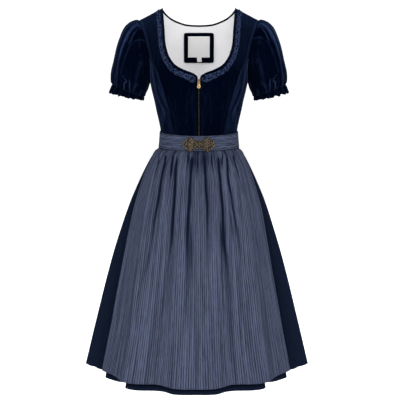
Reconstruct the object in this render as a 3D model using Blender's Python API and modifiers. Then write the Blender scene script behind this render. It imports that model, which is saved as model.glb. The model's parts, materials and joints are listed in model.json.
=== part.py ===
"""A dirndl, as it looks when it is worn: velvet bodice with puffed sleeves, gathered skirt, striped apron.

Metres, +Z up, front towards -Y. The origin is midway between the neck ends of the two shoulder seams,
where the wearer's shoulders carry the dress. Every sheet of cloth is a grid of points worked out from the
tables below, and gets its wall from a Solidify modifier that grows inwards from the outer face.
"""
from collections import namedtuple

import bmesh
import bpy
import numpy as np

# Walls and gaps
VELVET = 0.0016
COTTON = 0.0012
FRILL = 0.0014
LINING = 0.0010
SEAM_GAP = 0.0006
REST_GAP = 0.0004

# Heights of the main seams
WAIST_SEAM = -0.4425
ARMPIT = -0.2350
HEM = -1.1600
APRON_HEM = -1.1400
BAND_TOP = -0.3935
BAND_FOOT = -0.4445

# Shoulder seam: from the neck end, down to the shoulder point
NECK_END_X = 0.1138
NECK_END_Z = -0.0090
SHOULDER_SLOPE = 0.527

# Plan roundness of the bodice: 2 is an ellipse, more is squarer
BODICE_ROUND = 2.2

# Armhole: how far it cuts in from the side seam, and the share of the height by which it has done so
ARMHOLE_FRONT = 21.0
ARMHOLE_BACK = 21.0
ARMHOLE_BOWL = 0.42
SHOULDER_SPREAD = 0.046

# Rows below the top of the princess seams, rows beside the armhole, and how the columns of a side panel lie
SEAM_ROWS = 8
ARMHOLE_ROWS = (0.0, 0.18, 0.34, 0.49, 0.63, 0.76, 0.88, 0.965, 1.0)
SIDE_COLUMNS = (0.0, 0.18, 0.45, 0.72, 1.0)
ARMHOLE_STEP = 0.0100

# Bust shaping from the cut: height and bearing of its middle, reach each way, and how far it stands out
BUST_Z, BUST_BEARING, BUST_REACH_Z, BUST_REACH_BEARING, BUST_OUT = -0.250, 37.0, 0.050, 19.0, 0.009

ZIP_HALF = 0.0032
ZIP_TOP = -0.2195

Ring = namedtuple("Ring", "height half_width front back")
BODICE_RINGS = [
    Ring(WAIST_SEAM, 0.1215, 0.0920, 0.0800),
    Ring(-0.3950, 0.1208, 0.0928, 0.0808),
    Ring(-0.3570, 0.1275, 0.0995, 0.0865),
    Ring(-0.3285, 0.1340, 0.1068, 0.0908),
    Ring(-0.2950, 0.1407, 0.1150, 0.0950),
    Ring(-0.2645, 0.1481, 0.1210, 0.0985),
    Ring(ARMPIT, 0.1540, 0.1240, 0.1010),
]

Seam = namedtuple("Seam", "level bearing")
FRONT_SEAM = [
    Seam(-1.00, 40.5), Seam(-0.69, 43.5), Seam(-0.36, 45.5), Seam(-0.17, 49.0),
    Seam(-0.02, 54.5), Seam(0.09, 62.0), Seam(0.182, 70.1),
]
BACK_SEAM = [
    Seam(-1.00, 36.0), Seam(-0.62, 38.0), Seam(-0.30, 41.5), Seam(-0.05, 48.0),
    Seam(0.11, 57.5), Seam(0.20, 65.3), Seam(0.262, 69.2),
]

Edge = namedtuple("Edge", "x z")
FRONT_NECK = [
    Edge(0.0032, -0.2220), Edge(0.0078, -0.2110), Edge(0.0180, -0.2040), Edge(0.0444, -0.1938),
    Edge(0.0732, -0.1780), Edge(0.0912, -0.1538), Edge(0.1014, -0.1226), Edge(0.1063, -0.0705),
    Edge(0.1105, -0.0300), Edge(0.1130, -0.0125), Edge(0.1137, -0.0096), Edge(0.1138, -0.0090),
]
BACK_NECK = [
    Edge(0.0003, -0.0630), Edge(0.0300, -0.0615), Edge(0.0520, -0.0570), Edge(0.0820, -0.0440),
    Edge(0.1000, -0.0300), Edge(0.1110, -0.0155), Edge(0.1134, -0.0100), Edge(0.1138, -0.0090),
]

# Sleeve sections, from the armhole to the drawn-in cuff: where the outer and the underarm points lie
Section = namedtuple("Section", "along outer_x outer_z inner_x inner_z front back")
SLEEVE_SECTIONS = [
    Section(0.00, 0.1880, -0.0480, 0.1540, -0.2350, 0.048, 0.045),
    Section(0.10, 0.2040, -0.0500, 0.1555, -0.2440, 0.060, 0.056),
    Section(0.22, 0.2272, -0.0668, 0.1570, -0.2520, 0.070, 0.066),
    Section(0.38, 0.2464, -0.1041, 0.1600, -0.2610, 0.076, 0.072),
    Section(0.60, 0.2640, -0.1604, 0.1640, -0.2690, 0.077, 0.073),
    Section(0.80, 0.2768, -0.2080, 0.1680, -0.2765, 0.068, 0.065),
    Section(0.93, 0.2770, -0.2370, 0.1705, -0.2810, 0.055, 0.054),
    Section(1.00, 0.2740, -0.2450, 0.1725, -0.2825, 0.048, 0.047),
]
CAP_FOLDS, CUFF_FOLDS, FRILL_WAVES = 10, 10, 14
FRILL_LENGTH = 0.0205

# Skirt form: plan roundness falls towards the hem, and the whole hem hangs a little to one side
Skirt = namedtuple("Skirt", "height half_width front back round sway")
SKIRT_RINGS = [
    Skirt(-0.4432, 0.1215, 0.0920, 0.0800, 2.2, 0.0000),
    Skirt(-0.4530, 0.1400, 0.1000, 0.0985, 2.2, -0.0012),
    Skirt(-0.5000, 0.1665, 0.1230, 0.1290, 2.1, -0.0025),
    Skirt(-0.5900, 0.2060, 0.1600, 0.1720, 2.0, -0.0033),
    Skirt(-0.7200, 0.2517, 0.2020, 0.2150, 1.9, -0.0050),
    Skirt(-0.8700, 0.2958, 0.2370, 0.2540, 1.85, -0.0058),
    Skirt(-1.0200, 0.3345, 0.2650, 0.2850, 1.8, -0.0064),
    Skirt(HEM, 0.3685, 0.2900, 0.3080, 1.8, -0.0068),
]

SKIRT_ROWS = (HEM, -1.020, -0.870, -0.720, -0.590, -0.500, -0.453, -0.4432)
SKIRT_SEAM = 62.0
FRONT_SWAY = 2.5
FRONT_GATHERS = 5

# The hem in plan on one side, from the middle of the front round to the side: three flaps that overlap
Plan = namedtuple("Plan", "x depth")
SKIRT_HEM_FRONT = [
    Plan(0.000, 0.3045), Plan(0.045, 0.3040), Plan(0.066, 0.2990), Plan(0.083, 0.2850), Plan(0.100, 0.2680),
    Plan(0.118, 0.2590), Plan(0.145, 0.2570), Plan(0.172, 0.2555), Plan(0.195, 0.2490), Plan(0.211, 0.2385),
    Plan(0.217, 0.2275), Plan(0.211, 0.2140), Plan(0.197, 0.2040), Plan(0.188, 0.1930), Plan(0.194, 0.1840),
    Plan(0.212, 0.1820), Plan(0.235, 0.1770), Plan(0.260, 0.1640), Plan(0.279, 0.1480), Plan(0.288, 0.1330),
    Plan(0.283, 0.1190), Plan(0.272, 0.1090),
]
SKIRT_HEM_SIDE = [
    Plan(0.2716, 0.1084), Plan(0.2630, 0.0970), Plan(0.2650, 0.0850), Plan(0.2800, 0.0770), Plan(0.3080, 0.0650),
    Plan(0.3355, 0.0430), Plan(0.3560, 0.0180), Plan(0.3685, 0.0000),
]
BACK_FOLDS = 7
BACK_FOLD_DEPTH = 0.034
WAIST_GATHER = 0.0020

# The apron's lower edge in plan, and where its side edges run on the skirt form
APRON_HEM_FRONT = [
    Plan(0.000, 0.3090), Plan(0.038, 0.3085), Plan(0.064, 0.3020), Plan(0.084, 0.2860), Plan(0.104, 0.2690),
    Plan(0.130, 0.2620), Plan(0.163, 0.2608), Plan(0.194, 0.2560), Plan(0.216, 0.2435), Plan(0.229, 0.2230),
    Plan(0.243, 0.1980), Plan(0.261, 0.1740), Plan(0.283, 0.1520), Plan(0.297, 0.1320),
]
Side = namedtuple("Side", "height bearing")
APRON_SIDE = [
    Side(BAND_FOOT, 76.5), Side(-0.500, 73.0), Side(-0.560, 68.0), Side(-0.637, 62.5), Side(-0.776, 57.5),
    Side(-0.920, 56.0), Side(APRON_HEM, 56.0),
]
APRON_GATHERS = 24
APRON_FOLDS = 9
APRON_STANDOFF, APRON_TOP_FRONT, APRON_TOP_SIDE = 0.0042, 0.0018, 0.0042
APRON_ROWS = (APRON_HEM, -1.020, -0.870, -0.720, -0.590, -0.500, -0.453, -0.4449)

# Band round the waist: its rings, and the tucks that run along it
BAND_RINGS = [
    Ring(BAND_FOOT, 0.1258, 0.0962, 0.0842),
    Ring(-0.4200, 0.1237, 0.0952, 0.0831),
    Ring(BAND_TOP, 0.1219, 0.0946, 0.0826),
]
BAND_TUCKS = 5
BAND_WALL, TUCK_DEPTH = 0.0014, 0.0011

# Gathered trim along the neckline
TRIM_START = (0.0085, -0.2084)
TRIM_INSET = 0.0052
TRIM_WIDTH = 0.0185
TRIM_WAVES = 27
TRIM_BASE, TRIM_RISE = 0.0020, 0.0022

# Clasp: two pierced rosettes that hook together over the band's front ends
CLASP_X, CLASP_Z = 0.0262, -0.4215
CLASP_THICK = 0.0018
CLASP_TURN, CLASP_LEAN, CLASP_OFF = 7.0, 4.0, 0.0018
ROSETTE_R, ROSETTE_LOBE, ROSETTE_LOBES, TONGUE_HALF = 0.0222, 0.0030, 8, 0.0125

# Zip: chain, slider with its crown, and the tab that swings on a bar under the crown
CHAIN_HALF, CHAIN_THICK, CHAIN_PROUD = 0.0027, 0.0020, 0.0004
SLIDER_LONG, SLIDER_WIDE, SLIDER_THICK = 0.0130, 0.0090, 0.0030
TAB_LONG, TAB_WIDE, TAB_THICK = 0.0195, 0.0105, 0.0012
TAB_OUT, TAB_DOWN = 0.0018, 0.0083
CROWN = ((-0.0006, 0.0020), (0.0026, 0.0022), (0.0042, 0.0036), (0.0044, 0.0082), (0.0034, 0.0108), (-0.0006, 0.0118))

# Label patch inside the back, its label and the size tab, all bare
PATCH, LABEL, TAG = 0.0960, 0.0700, 0.0150
PATCH_Z, LABEL_Z, TAG_Z = -0.1355, -0.1335, -0.1760
LINING_GAP, PATCH_GAP, LABEL_GAP, LABEL_THICK = 0.0007, 0.0021, 0.0007, 0.0008

COLOURS = {
    "velvet": (0.010, 0.018, 0.060), "trim": (0.030, 0.050, 0.110), "skirt": (0.014, 0.026, 0.075),
    "apron": (0.110, 0.140, 0.240), "lining": (0.800, 0.800, 0.820), "label": (0.780, 0.770, 0.740),
    "brass": (0.480, 0.330, 0.130), "clasp": (0.260, 0.200, 0.130),
}
METALS = ("brass", "clasp")


def clear_scene():
    for obj in list(bpy.data.objects):
        bpy.data.objects.remove(obj, do_unlink=True)


def material(name):
    """One plain Principled material for each finish."""
    found = bpy.data.materials.get(name)
    if found:
        return found
    made = bpy.data.materials.new(name)
    made.use_nodes = True
    shader = made.node_tree.nodes["Principled BSDF"]
    shader.inputs["Base Color"].default_value = (*COLOURS[name], 1.0)
    shader.inputs["Metallic"].default_value = 1.0 if name in METALS else 0.0
    shader.inputs["Roughness"].default_value = 0.35 if name in METALS else 0.85
    return made


def add_object(name, data, finish, collection):
    obj = bpy.data.objects.new(name, data)
    data.materials.append(material(finish))
    collection.objects.link(obj)
    return obj


def through(rows, column, at):
    """A table's column as a smooth function of its first column: cubic pieces with finite-difference slopes."""
    keys = np.array([row[0] for row in rows], float)
    values = np.array([getattr(row, column) for row in rows], float)
    if keys[0] > keys[-1]:
        keys, values = keys[::-1], values[::-1]
    slopes = np.gradient(values, keys)
    at = np.clip(np.asarray(at, float), keys[0], keys[-1])
    piece = np.clip(np.searchsorted(keys, at, side="right") - 1, 0, len(keys) - 2)
    span = keys[piece + 1] - keys[piece]
    s = (at - keys[piece]) / span
    start, end = values[piece], values[piece + 1]
    rise, fall = slopes[piece] * span, slopes[piece + 1] * span
    return (
        start * (1 + 2 * s) * (1 - s) ** 2 + rise * s * (1 - s) ** 2
        + end * s * s * (3 - 2 * s) + fall * s * s * (s - 1)
    )


def along_curve(points, at):
    """Points at these shares of the length of a smooth curve through the given points."""
    points = np.array(points, float)
    chord = np.concatenate([[0], np.cumsum(np.linalg.norm(np.diff(points, axis=0), axis=1))])
    share = chord / chord[-1]
    fields = [f"c{k}" for k in range(points.shape[1])]
    Row = namedtuple("Row", ["share", *fields])
    rows = [Row(s, *p) for s, p in zip(share, points)]
    return np.stack([through(rows, field, at) for field in fields], axis=-1)


def ease(x, low, high):
    """0 below low, 1 above high, and smooth between."""
    s = np.clip((np.asarray(x, float) - low) / (high - low), 0.0, 1.0)
    return s * s * (3 - 2 * s)


def plan_point(bearing, half_width, depth, roundness):
    """x and depth on a rounded oval, for a bearing of 0 to 90 degrees from its middle."""
    turn = np.radians(np.clip(bearing, 0.0, 90.0))
    return (
        half_width * np.sin(turn) ** (2.0 / roundness),
        depth * np.clip(np.cos(turn), 0.0, 1.0) ** (2.0 / roundness),
    )


def shoulder_z(x):
    return NECK_END_Z - SHOULDER_SLOPE * (x - NECK_END_X)


def bodice_form(bearing, level, back=False, inwards=0.0):
    """The right half of the bodice's outer face: level -1 is the waist, 0 the armpit, 1 the shoulder seam."""
    bearing, level = np.broadcast_arrays(np.asarray(bearing, float), np.asarray(level, float))
    low, high = np.minimum(level, 0.0), np.clip(level, 0.0, 1.0) * np.pi / 2
    height = ARMPIT + low * (ARMPIT - WAIST_SEAM)
    half_width = through(BODICE_RINGS, "half_width", height) + SHOULDER_SPREAD * np.sin(high) ** 1.5
    depth = (through(BODICE_RINGS, "back" if back else "front", height) - inwards) * np.cos(high)
    x, y = plan_point(bearing, half_width - inwards, depth, BODICE_ROUND)
    z = np.where(level > 0, ARMPIT + np.sin(high) * (shoulder_z(x) - inwards - ARMPIT), height)
    if not back:
        bust = np.exp(-(((z - BUST_Z) / BUST_REACH_Z) ** 2) - ((bearing - BUST_BEARING) / BUST_REACH_BEARING) ** 2)
        y = y + BUST_OUT * bust
    x, y = np.maximum(x, SEAM_GAP / 2), np.maximum(y, SEAM_GAP / 2)
    return np.stack([x, y if back else -y, z], axis=-1)


def form_place(x, z):
    """The bearing and level on the bodice form of a point above the armpit, seen from the front."""
    lift = np.clip((z - ARMPIT) / (shoulder_z(x) - ARMPIT), 0.0, 1.0)
    half_width = BODICE_RINGS[-1].half_width + SHOULDER_SPREAD * lift ** 1.5
    bearing = np.degrees(np.arcsin(np.clip(x / half_width, 0.0, 1.0) ** (BODICE_ROUND / 2.0)))
    return bearing, np.degrees(np.arcsin(lift)) / 90.0


def armhole_bearing(level, cut):
    """Bearing of the armhole's edge: the side seam at the armpit, then a round bowl, then straight up."""
    lift = np.sin(np.clip(level, 0.0, 1.0) * np.pi / 2)
    return 90.0 - cut * np.sqrt(1.0 - (1.0 - np.minimum(lift / ARMHOLE_BOWL, 1.0)) ** 2)


def armhole_level(bearing, cut):
    share = np.clip((90.0 - bearing) / cut, 0.0, 1.0)
    return np.degrees(np.arcsin(ARMHOLE_BOWL * (1.0 - np.sqrt(1.0 - share**2)))) / 90.0


def mirrored(points):
    """The same grid on the wearer's other side, its faces still pointing out."""
    return (points * np.array([-1.0, 1.0, 1.0]))[:, ::-1]


def outward(points, closed=False):
    """Unit normals of a grid, by finite differences."""
    if closed:
        across = np.roll(points, -1, axis=1) - np.roll(points, 1, axis=1)
    else:
        across = np.gradient(points, axis=1)
    normal = np.cross(across, np.gradient(points, axis=0))
    return normal / np.maximum(np.linalg.norm(normal, axis=-1, keepdims=True), 1e-12)


def level_out(points, closed=False):
    """Unit directions out of a grid, kept level so that moved points stay at their height."""
    normal = outward(points, closed) * np.array([1.0, 1.0, 0.0])
    return normal / np.maximum(np.linalg.norm(normal, axis=-1, keepdims=True), 1e-12)


def sheet(name, points, thickness, finish, collection, closed=False):
    """A sheet of cloth through rows and columns of points, bottom row first. Its wall grows inwards."""
    rows, columns = points.shape[:2]
    index = np.arange(rows * columns).reshape(rows, columns)
    following = np.roll(index, -1, axis=1) if closed else index[:, 1:]
    here = index if closed else index[:, :-1]
    faces = np.stack([here[:-1], following[:-1], following[1:], here[1:]], axis=-1).reshape(-1, 4)
    mesh = bpy.data.meshes.new(name)
    mesh.from_pydata(points.reshape(-1, 3).tolist(), [], faces.tolist())
    mesh.shade_smooth()
    obj = add_object(name, mesh, finish, collection)
    wall = obj.modifiers.new("wall", "SOLIDIFY")
    wall.thickness = thickness
    wall.offset = -1.0
    return obj


def relief(name, outer, inner, finish, collection):
    """A wall between two grids of points, for a sheet whose outer face is raised over a plain inside."""
    rows, columns = outer.shape[:2]
    mesh = bmesh.new()
    skins = [[[mesh.verts.new(p) for p in row] for row in grid.tolist()] for grid in (outer, inner)]
    for skin, flip in zip(skins, (False, True)):
        for i in range(rows - 1):
            for j in range(columns - 1):
                quad = [skin[i][j], skin[i][j + 1], skin[i + 1][j + 1], skin[i + 1][j]]
                mesh.faces.new(quad[::-1] if flip else quad)
    rim = [(0, j) for j in range(columns)] + [(i, columns - 1) for i in range(1, rows)]
    rim += [(rows - 1, j) for j in range(columns - 2, -1, -1)] + [(i, 0) for i in range(rows - 2, 0, -1)]
    for (i, j), (k, m) in zip(rim, rim[1:] + rim[:1]):
        mesh.faces.new([skins[0][k][m], skins[0][i][j], skins[1][i][j], skins[1][k][m]])
    data = bpy.data.meshes.new(name)
    mesh.to_mesh(data)
    mesh.free()
    return add_object(name, data, finish, collection)


def blend_edges(inner, outer, shares):
    """Rows of (bearing, level) between two edges, which hold one point for each row."""
    share = np.asarray(shares, float)[None, :, None]
    return inner[:, None, :] * (1 - share) + outer[:, None, :] * share


def degrees_for(gap, radius):
    return np.degrees(gap / radius)


def outer_edge(seam, cut):
    """A centre panel's outer edge, as (bearing, level): up the seam, then up the armhole to the shoulder."""
    top = seam[-1].level
    low = np.linspace(-1.0, top, SEAM_ROWS + 1)
    high = top + np.array(ARMHOLE_ROWS[1:]) * (1.0 - top)
    on_seam = through(seam, "bearing", low) - degrees_for(SEAM_GAP / 2, 0.13)
    return np.stack(
        [np.concatenate([on_seam, armhole_bearing(high, cut)]), np.concatenate([low, high])], axis=-1
    )


def front_panel():
    """Centre front, from the zip and neckline to the princess seam and armhole."""
    outer = outer_edge(FRONT_SEAM, ARMHOLE_FRONT)
    neck = np.array(FRONT_NECK)
    below = len(outer) - len(neck)
    height = np.linspace(WAIST_SEAM, ZIP_TOP - 0.0025, below + 1)[:-1]
    half_width = through(BODICE_RINGS, "half_width", height)
    zip_bearing = np.degrees(np.arcsin((ZIP_HALF / half_width) ** (BODICE_ROUND / 2.0)))
    zip_level = (height - ARMPIT) / (ARMPIT - WAIST_SEAM)
    inner = np.concatenate([
        np.stack([zip_bearing, zip_level], axis=-1), np.stack(form_place(neck[:, 0], neck[:, 1]), axis=-1)
    ])
    inner[-1, 1] = 1.0
    place = blend_edges(inner, outer, np.linspace(0.0, 1.0, 7))
    return bodice_form(place[..., 0], place[..., 1])


def back_panel():
    """Centre back, from the middle seam and neckline to the back seam and armhole."""
    outer = outer_edge(BACK_SEAM, ARMHOLE_BACK)
    neck = np.array(BACK_NECK)
    below = len(outer) - len(neck)
    first = form_place(neck[0, 0], neck[0, 1] - 0.0055)[1]
    level = np.append(np.linspace(-1.0, first - 0.11, below - 1), first)
    inner = np.concatenate([
        np.stack([np.zeros(below), level], axis=-1), np.stack(form_place(neck[:, 0], neck[:, 1]), axis=-1)
    ])
    inner[-1, 1] = 1.0
    place = blend_edges(inner, outer, np.linspace(0.0, 1.0, 6))
    return bodice_form(place[..., 0], place[..., 1], back=True)[:, ::-1]


def side_panel(back):
    """Side front or side back, from the seam to the side seam, cut away at the top by the armhole."""
    seam, cut = (BACK_SEAM, ARMHOLE_BACK) if back else (FRONT_SEAM, ARMHOLE_FRONT)
    up = np.linspace(0.0, 1.0, SEAM_ROWS + 1)[:, None]
    first = through(seam, "bearing", -1.0 + up * (1.0 + seam[-1].level)) + degrees_for(SEAM_GAP / 2, 0.13)
    bearing = first + (90.0 - first) * np.array(SIDE_COLUMNS)
    top = armhole_level(bearing[-1:, :], cut)
    top[0, 0] = seam[-1].level
    points = bodice_form(bearing, -1.0 + up * (1.0 + top), back=back)
    return points[:, ::-1] if back else points


def back_lining(panel):
    """White lining of the centre back: the panel's own points, moved in, and cut lower along the neckline."""
    points = panel[:, ::-1].copy()
    below = len(points) - len(BACK_NECK)
    edge, beside = points[below:, 0], points[below:, 1]
    share = 0.0055 / np.linalg.norm(beside - edge, axis=-1, keepdims=True)
    points[below:, 0] = edge + (beside - edge) * share
    points = np.delete(points, below, axis=0)
    points = points[:, ::-1]
    points = points - outward(points) * (VELVET + LINING_GAP)
    points[..., 0] = np.maximum(points[..., 0], SEAM_GAP)
    return points


def armhole_loop():
    """The edge that the four panels leave for the sleeve, from the shoulder by the front to the back again."""
    front, back = front_panel(), back_panel()[:, ::-1]
    side_front, side_back = side_panel(False), side_panel(True)[:, ::-1]
    corners = np.concatenate([
        front[:SEAM_ROWS:-1, -1], [(front[SEAM_ROWS, -1] + side_front[-1, 0]) / 2], side_front[-1, 1:-1],
        [(side_front[-1, -1] + side_back[-1, -1]) / 2], side_back[-1, -2:0:-1],
        [(back[SEAM_ROWS, -1] + side_back[-1, 0]) / 2], back[SEAM_ROWS + 1:-1, -1],
    ])
    corners[0, 1] = 0.0
    loop = []
    for here, there in zip(corners, np.roll(corners, -1, axis=0)):
        parts = max(1, round(np.linalg.norm(there - here) / ARMHOLE_STEP))
        loop.extend(here + (there - here) * k / parts for k in range(parts))
    loop = np.array(loop)
    return loop, int(np.argmin(loop[:, 2]))


def loop_turns(loop, armpit):
    """How far round each point of the armhole lies: 0 is the shoulder point, 180 the armpit."""
    step = np.linalg.norm(np.roll(loop, -1, axis=0) - loop, axis=1)
    far = np.concatenate([[0.0], np.cumsum(step)])
    down = 180.0 * far[: armpit + 1] / far[armpit]
    up = 180.0 + 180.0 * (far[armpit + 1:-1] - far[armpit]) / (far[-1] - far[armpit])
    return np.concatenate([down, up])


def sleeve():
    """A puffed sleeve: gathers fan out from the cap, and draw in again to the cuff."""
    loop, armpit = armhole_loop()
    turn = loop_turns(loop, armpit)[None, :]
    along = np.array([1.0, 0.93, 0.80, 0.60, 0.38, 0.22, 0.10, 0.0])[:, None]
    outer, inner = (
        np.stack([through(SLEEVE_SECTIONS, end + axis, along) for axis in ("_x", "_z")], axis=-1)
        for end in ("outer", "inner")
    )
    middle, half = (outer + inner) / 2, (outer - inner) / 2
    angle = np.radians(turn)
    depth = np.where(turn <= 180.0, through(SLEEVE_SECTIONS, "front", along), through(SLEEVE_SECTIONS, "back", along))
    flat = middle + half * np.cos(angle)[..., None]
    ring = np.stack([flat[..., 0], -depth * np.sin(angle), flat[..., 1]], axis=-1)
    start = loop[None] + np.array([SEAM_GAP, 0.0, 0.0])
    share = ease(along, 0.0, 0.16)[..., None]
    points = start * (1 - share) + ring * share
    top_heavy = 0.35 + 0.65 * np.cos(angle / 2) ** 2
    cap = np.cos(angle * CAP_FOLDS + 0.6) * top_heavy * (1 - ease(along, 0.36, 0.85))
    cuff = np.cos(angle * CUFF_FOLDS + 2.0) * ease(along, 0.55, 0.90)
    swell = (0.0050 * cap + (0.0015 + 0.0035 * (1 - ease(along, 0.92, 1.0))) * cuff) * (along > 0.0)
    points, swell = points[:, ::-1], swell[:, ::-1]
    return points + outward(points, closed=True) * swell[..., None], np.radians(turn[0, ::-1])


def cuff_frill(sleeve_points, turn):
    """The frill below the elastic: it starts at the drawn-in edge and flares in waves."""
    edge = sleeve_points[0]
    down = np.array([SLEEVE_SECTIONS[-1].inner_z - SLEEVE_SECTIONS[-1].outer_z, 0.0,
                     SLEEVE_SECTIONS[-1].outer_x - SLEEVE_SECTIONS[-1].inner_x])
    down = -down * np.sign(down[2]) / np.linalg.norm(down)
    middle = edge.mean(axis=0)
    out = edge - middle
    reach = np.linalg.norm(out, axis=1, keepdims=True)
    rows = []
    for share in (1.0, 0.50, 0.0):
        drop = SEAM_GAP + (FRILL_LENGTH - SEAM_GAP) * share
        flare = 0.0010 * share + 0.0024 * np.sqrt(share) * np.cos(FRILL_WAVES * turn + 0.8)
        dip = drop * (1.0 + 0.12 * np.cos(turn) + 0.07 * share * np.cos(FRILL_WAVES * turn + 2.4))
        rows.append(edge + out / reach * flare[:, None] + down * dip[:, None])
    return np.array(rows)


def skirt_form(bearing, height, out=0.0):
    """The skirt's plain form: bearing 0 is the middle front, 90 the right side, 180 the middle back."""
    bearing, height = np.broadcast_arrays(np.asarray(bearing, float), np.asarray(height, float))
    behind = bearing > 90.0
    local = np.where(behind, 180.0 - bearing, bearing)
    depth = np.where(behind, through(SKIRT_RINGS, "back", height), through(SKIRT_RINGS, "front", height))
    x, y = plan_point(
        local, through(SKIRT_RINGS, "half_width", height) + out, depth + out, through(SKIRT_RINGS, "round", height)
    )
    return np.stack([x, np.where(behind, y, -y), height], axis=-1)


def swayed(points):
    """The whole skirt hangs a little to one side, more so towards the hem."""
    moved = points.copy()
    moved[..., 0] += through(SKIRT_RINGS, "sway", points[..., 2]) * (1.0 - FRONT_SWAY * points[..., 1])
    return moved


def hang(bearing, hem, heights, out=0.0, low=HEM):
    """Hangs cloth from the form's bearings to the given hem points: the hem's shape fades out upwards."""
    bearing = np.broadcast_to(bearing, (len(heights), np.shape(bearing)[-1]))
    form = skirt_form(bearing, heights[:, None], out)
    foot = skirt_form(bearing[:1], np.full((1, 1), low), np.max(out))[0]
    share = np.clip((heights[-1] - heights) / (heights[-1] - low), 0.0, 1.0) ** 1.25
    form[..., :2] += share[:, None, None] * (hem[:, :2] - foot[:, :2])[None]
    return form


def waist_gather(heights, wave):
    """Small gathers under the waist seam, cut inwards so that nothing stands out of the form."""
    return -WAIST_GATHER * (1 - wave)[None, :] / 2 * ease(heights, -0.62, -0.50)[:, None]


def skirt_front():
    """Half of the front width of the skirt, with the flap that overlaps the side."""
    share = np.linspace(0.0, 1.0, 21)
    half = along_curve([(p.x, -p.depth) for p in SKIRT_HEM_FRONT], share)
    points = hang(SKIRT_SEAM * share, half, np.array(SKIRT_ROWS))
    gather = waist_gather(points[:, 0, 2], np.cos(2 * np.pi * FRONT_GATHERS * share))
    return points + level_out(points) * gather[..., None]


def whole(half):
    """A sheet across the middle: a right half that starts at the middle, and its mirror image."""
    half = half.copy()
    half[:, 0, 0] = 0.0
    return np.concatenate([mirrored(half)[:, :-1], half], axis=1)


def skirt_back():
    """Back width on one side: the side flap, then the folds round to the middle of the back."""
    share = np.linspace(0.0, 1.0, 8)[:-1]
    flap = along_curve([(p.x, -p.depth) for p in SKIRT_HEM_SIDE], share)
    start = SKIRT_SEAM + degrees_for(SEAM_GAP, 0.12)
    flap_bearing = start + (90.0 - start) * share
    quarter = np.arange(4 * BACK_FOLDS + 2)
    bearing = 90.0 + 90.0 * quarter / quarter[-1]
    phase = (quarter - 0.5) * np.pi / 2
    depth = BACK_FOLD_DEPTH * (0.78 + 0.22 * np.cos(phase / 2.3 + 1.0))
    low = skirt_form(bearing, HEM)
    inwards = np.array([0.0, 0.02]) - low[:, :2]
    inwards /= np.linalg.norm(inwards, axis=1, keepdims=True)
    hem = low[:, :2] + inwards * (depth * (1 - np.cos(phase)) / 2)[:, None]
    hem[-1, 0] = SEAM_GAP / 2
    points = hang(np.concatenate([flap_bearing, bearing]), np.concatenate([flap, hem]), np.array(SKIRT_ROWS))
    wave = np.concatenate([np.ones(len(flap)), np.cos(phase)])
    points = points + level_out(points) * waist_gather(points[:, 0, 2], wave)[..., None]
    points[:, -1, 0] = SEAM_GAP / 2
    return points


def apron(columns=80):
    """The apron: small gathers under the band that open into fewer, wider folds."""
    heights = np.array(APRON_ROWS)
    share = np.linspace(-1.0, 1.0, columns + 1)
    edge = through(APRON_SIDE[::-1], "bearing", heights)
    bearing = edge[:, None] * np.abs(share)[None, :]
    hem = along_curve([(p.x, -p.depth) for p in APRON_HEM_FRONT], np.abs(share))
    top = APRON_TOP_FRONT + (APRON_TOP_SIDE - APRON_TOP_FRONT) * share**2
    standoff = APRON_STANDOFF + (top - APRON_STANDOFF)[None, :] * ease(heights, -0.500, BAND_FOOT)[:, None]
    form = hang(bearing, hem, heights, standoff, APRON_HEM)
    form[..., 0] *= np.sign(share)
    gather = np.cos(np.pi * APRON_GATHERS * share)[None, :]
    fold = np.cos(np.pi * APRON_FOLDS * share + 0.9 * np.sin(5.0 * share) + 0.4)[None, :]
    down = heights[:, None]
    small = (0.0012 + 0.0022 * (1 - ease(down, -0.49, -0.445))) * ease(down, -0.70, -0.52)
    calm = 1.0 - 0.9 * np.abs(share) ** 6
    large = 0.0070 * (1 - ease(down, -0.50, -0.448)) * (0.35 + 0.65 * ease(down, -1.10, -0.75)) * calm
    lift = 0.0012 + 0.0100 * (1 - ease(down, -0.50, -0.446)) * (0.40 + 0.60 * ease(down, -1.10, -0.75)) * calm
    return form + level_out(form) * (small * gather + large * fold + lift)[..., None]


def band_half():
    """Half of the apron's band, from its front end under the clasp to the seam at the back."""
    up = np.linspace(0.0, 1.0, 2 * BAND_TUCKS + 1)
    heights = BAND_FOOT + up * (BAND_TOP - BAND_FOOT)
    bearing = np.linspace(0.35, 180.0, 19)[None, :]
    behind = bearing > 90.0
    local = np.where(behind, 180.0 - bearing, bearing)

    def skin(out):
        width, front, back = (through(BAND_RINGS, c, heights)[:, None] + out for c in ("half_width", "front", "back"))
        x, y = plan_point(local, width, np.where(behind, back, front), BODICE_ROUND)
        return np.stack([np.maximum(x, SEAM_GAP / 2), np.where(behind, y, -y), np.tile(heights[:, None], 19)], axis=-1)

    tuck = (TUCK_DEPTH * (1 - np.cos(2 * np.pi * BAND_TUCKS * up)) / 2)[:, None]
    return skin(tuck + BAND_WALL), skin(0.0)


def crept(place, distance, steps=4):
    """A line of (bearing, level) moved over the bodice form, square to itself, away from the neckline."""
    small = 1e-4
    for _ in range(steps):
        here = bodice_form(place[:, 0], place[:, 1])
        by_bearing = (bodice_form(place[:, 0] + small, place[:, 1]) - here) / small
        by_level = (here - bodice_form(place[:, 0], place[:, 1] - small)) / small
        along = np.gradient(here, axis=0)
        face = np.cross(by_bearing, by_level)
        away = np.cross(along, face)
        away *= distance / steps / np.linalg.norm(away, axis=1, keepdims=True)
        basis = np.stack([by_bearing, by_level], axis=-1)
        step = np.stack([np.linalg.lstsq(b, a, rcond=None)[0] for b, a in zip(basis, away)])
        place = place + step
        place[:, 1] = np.minimum(place[:, 1], 1.0)
    return place


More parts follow.
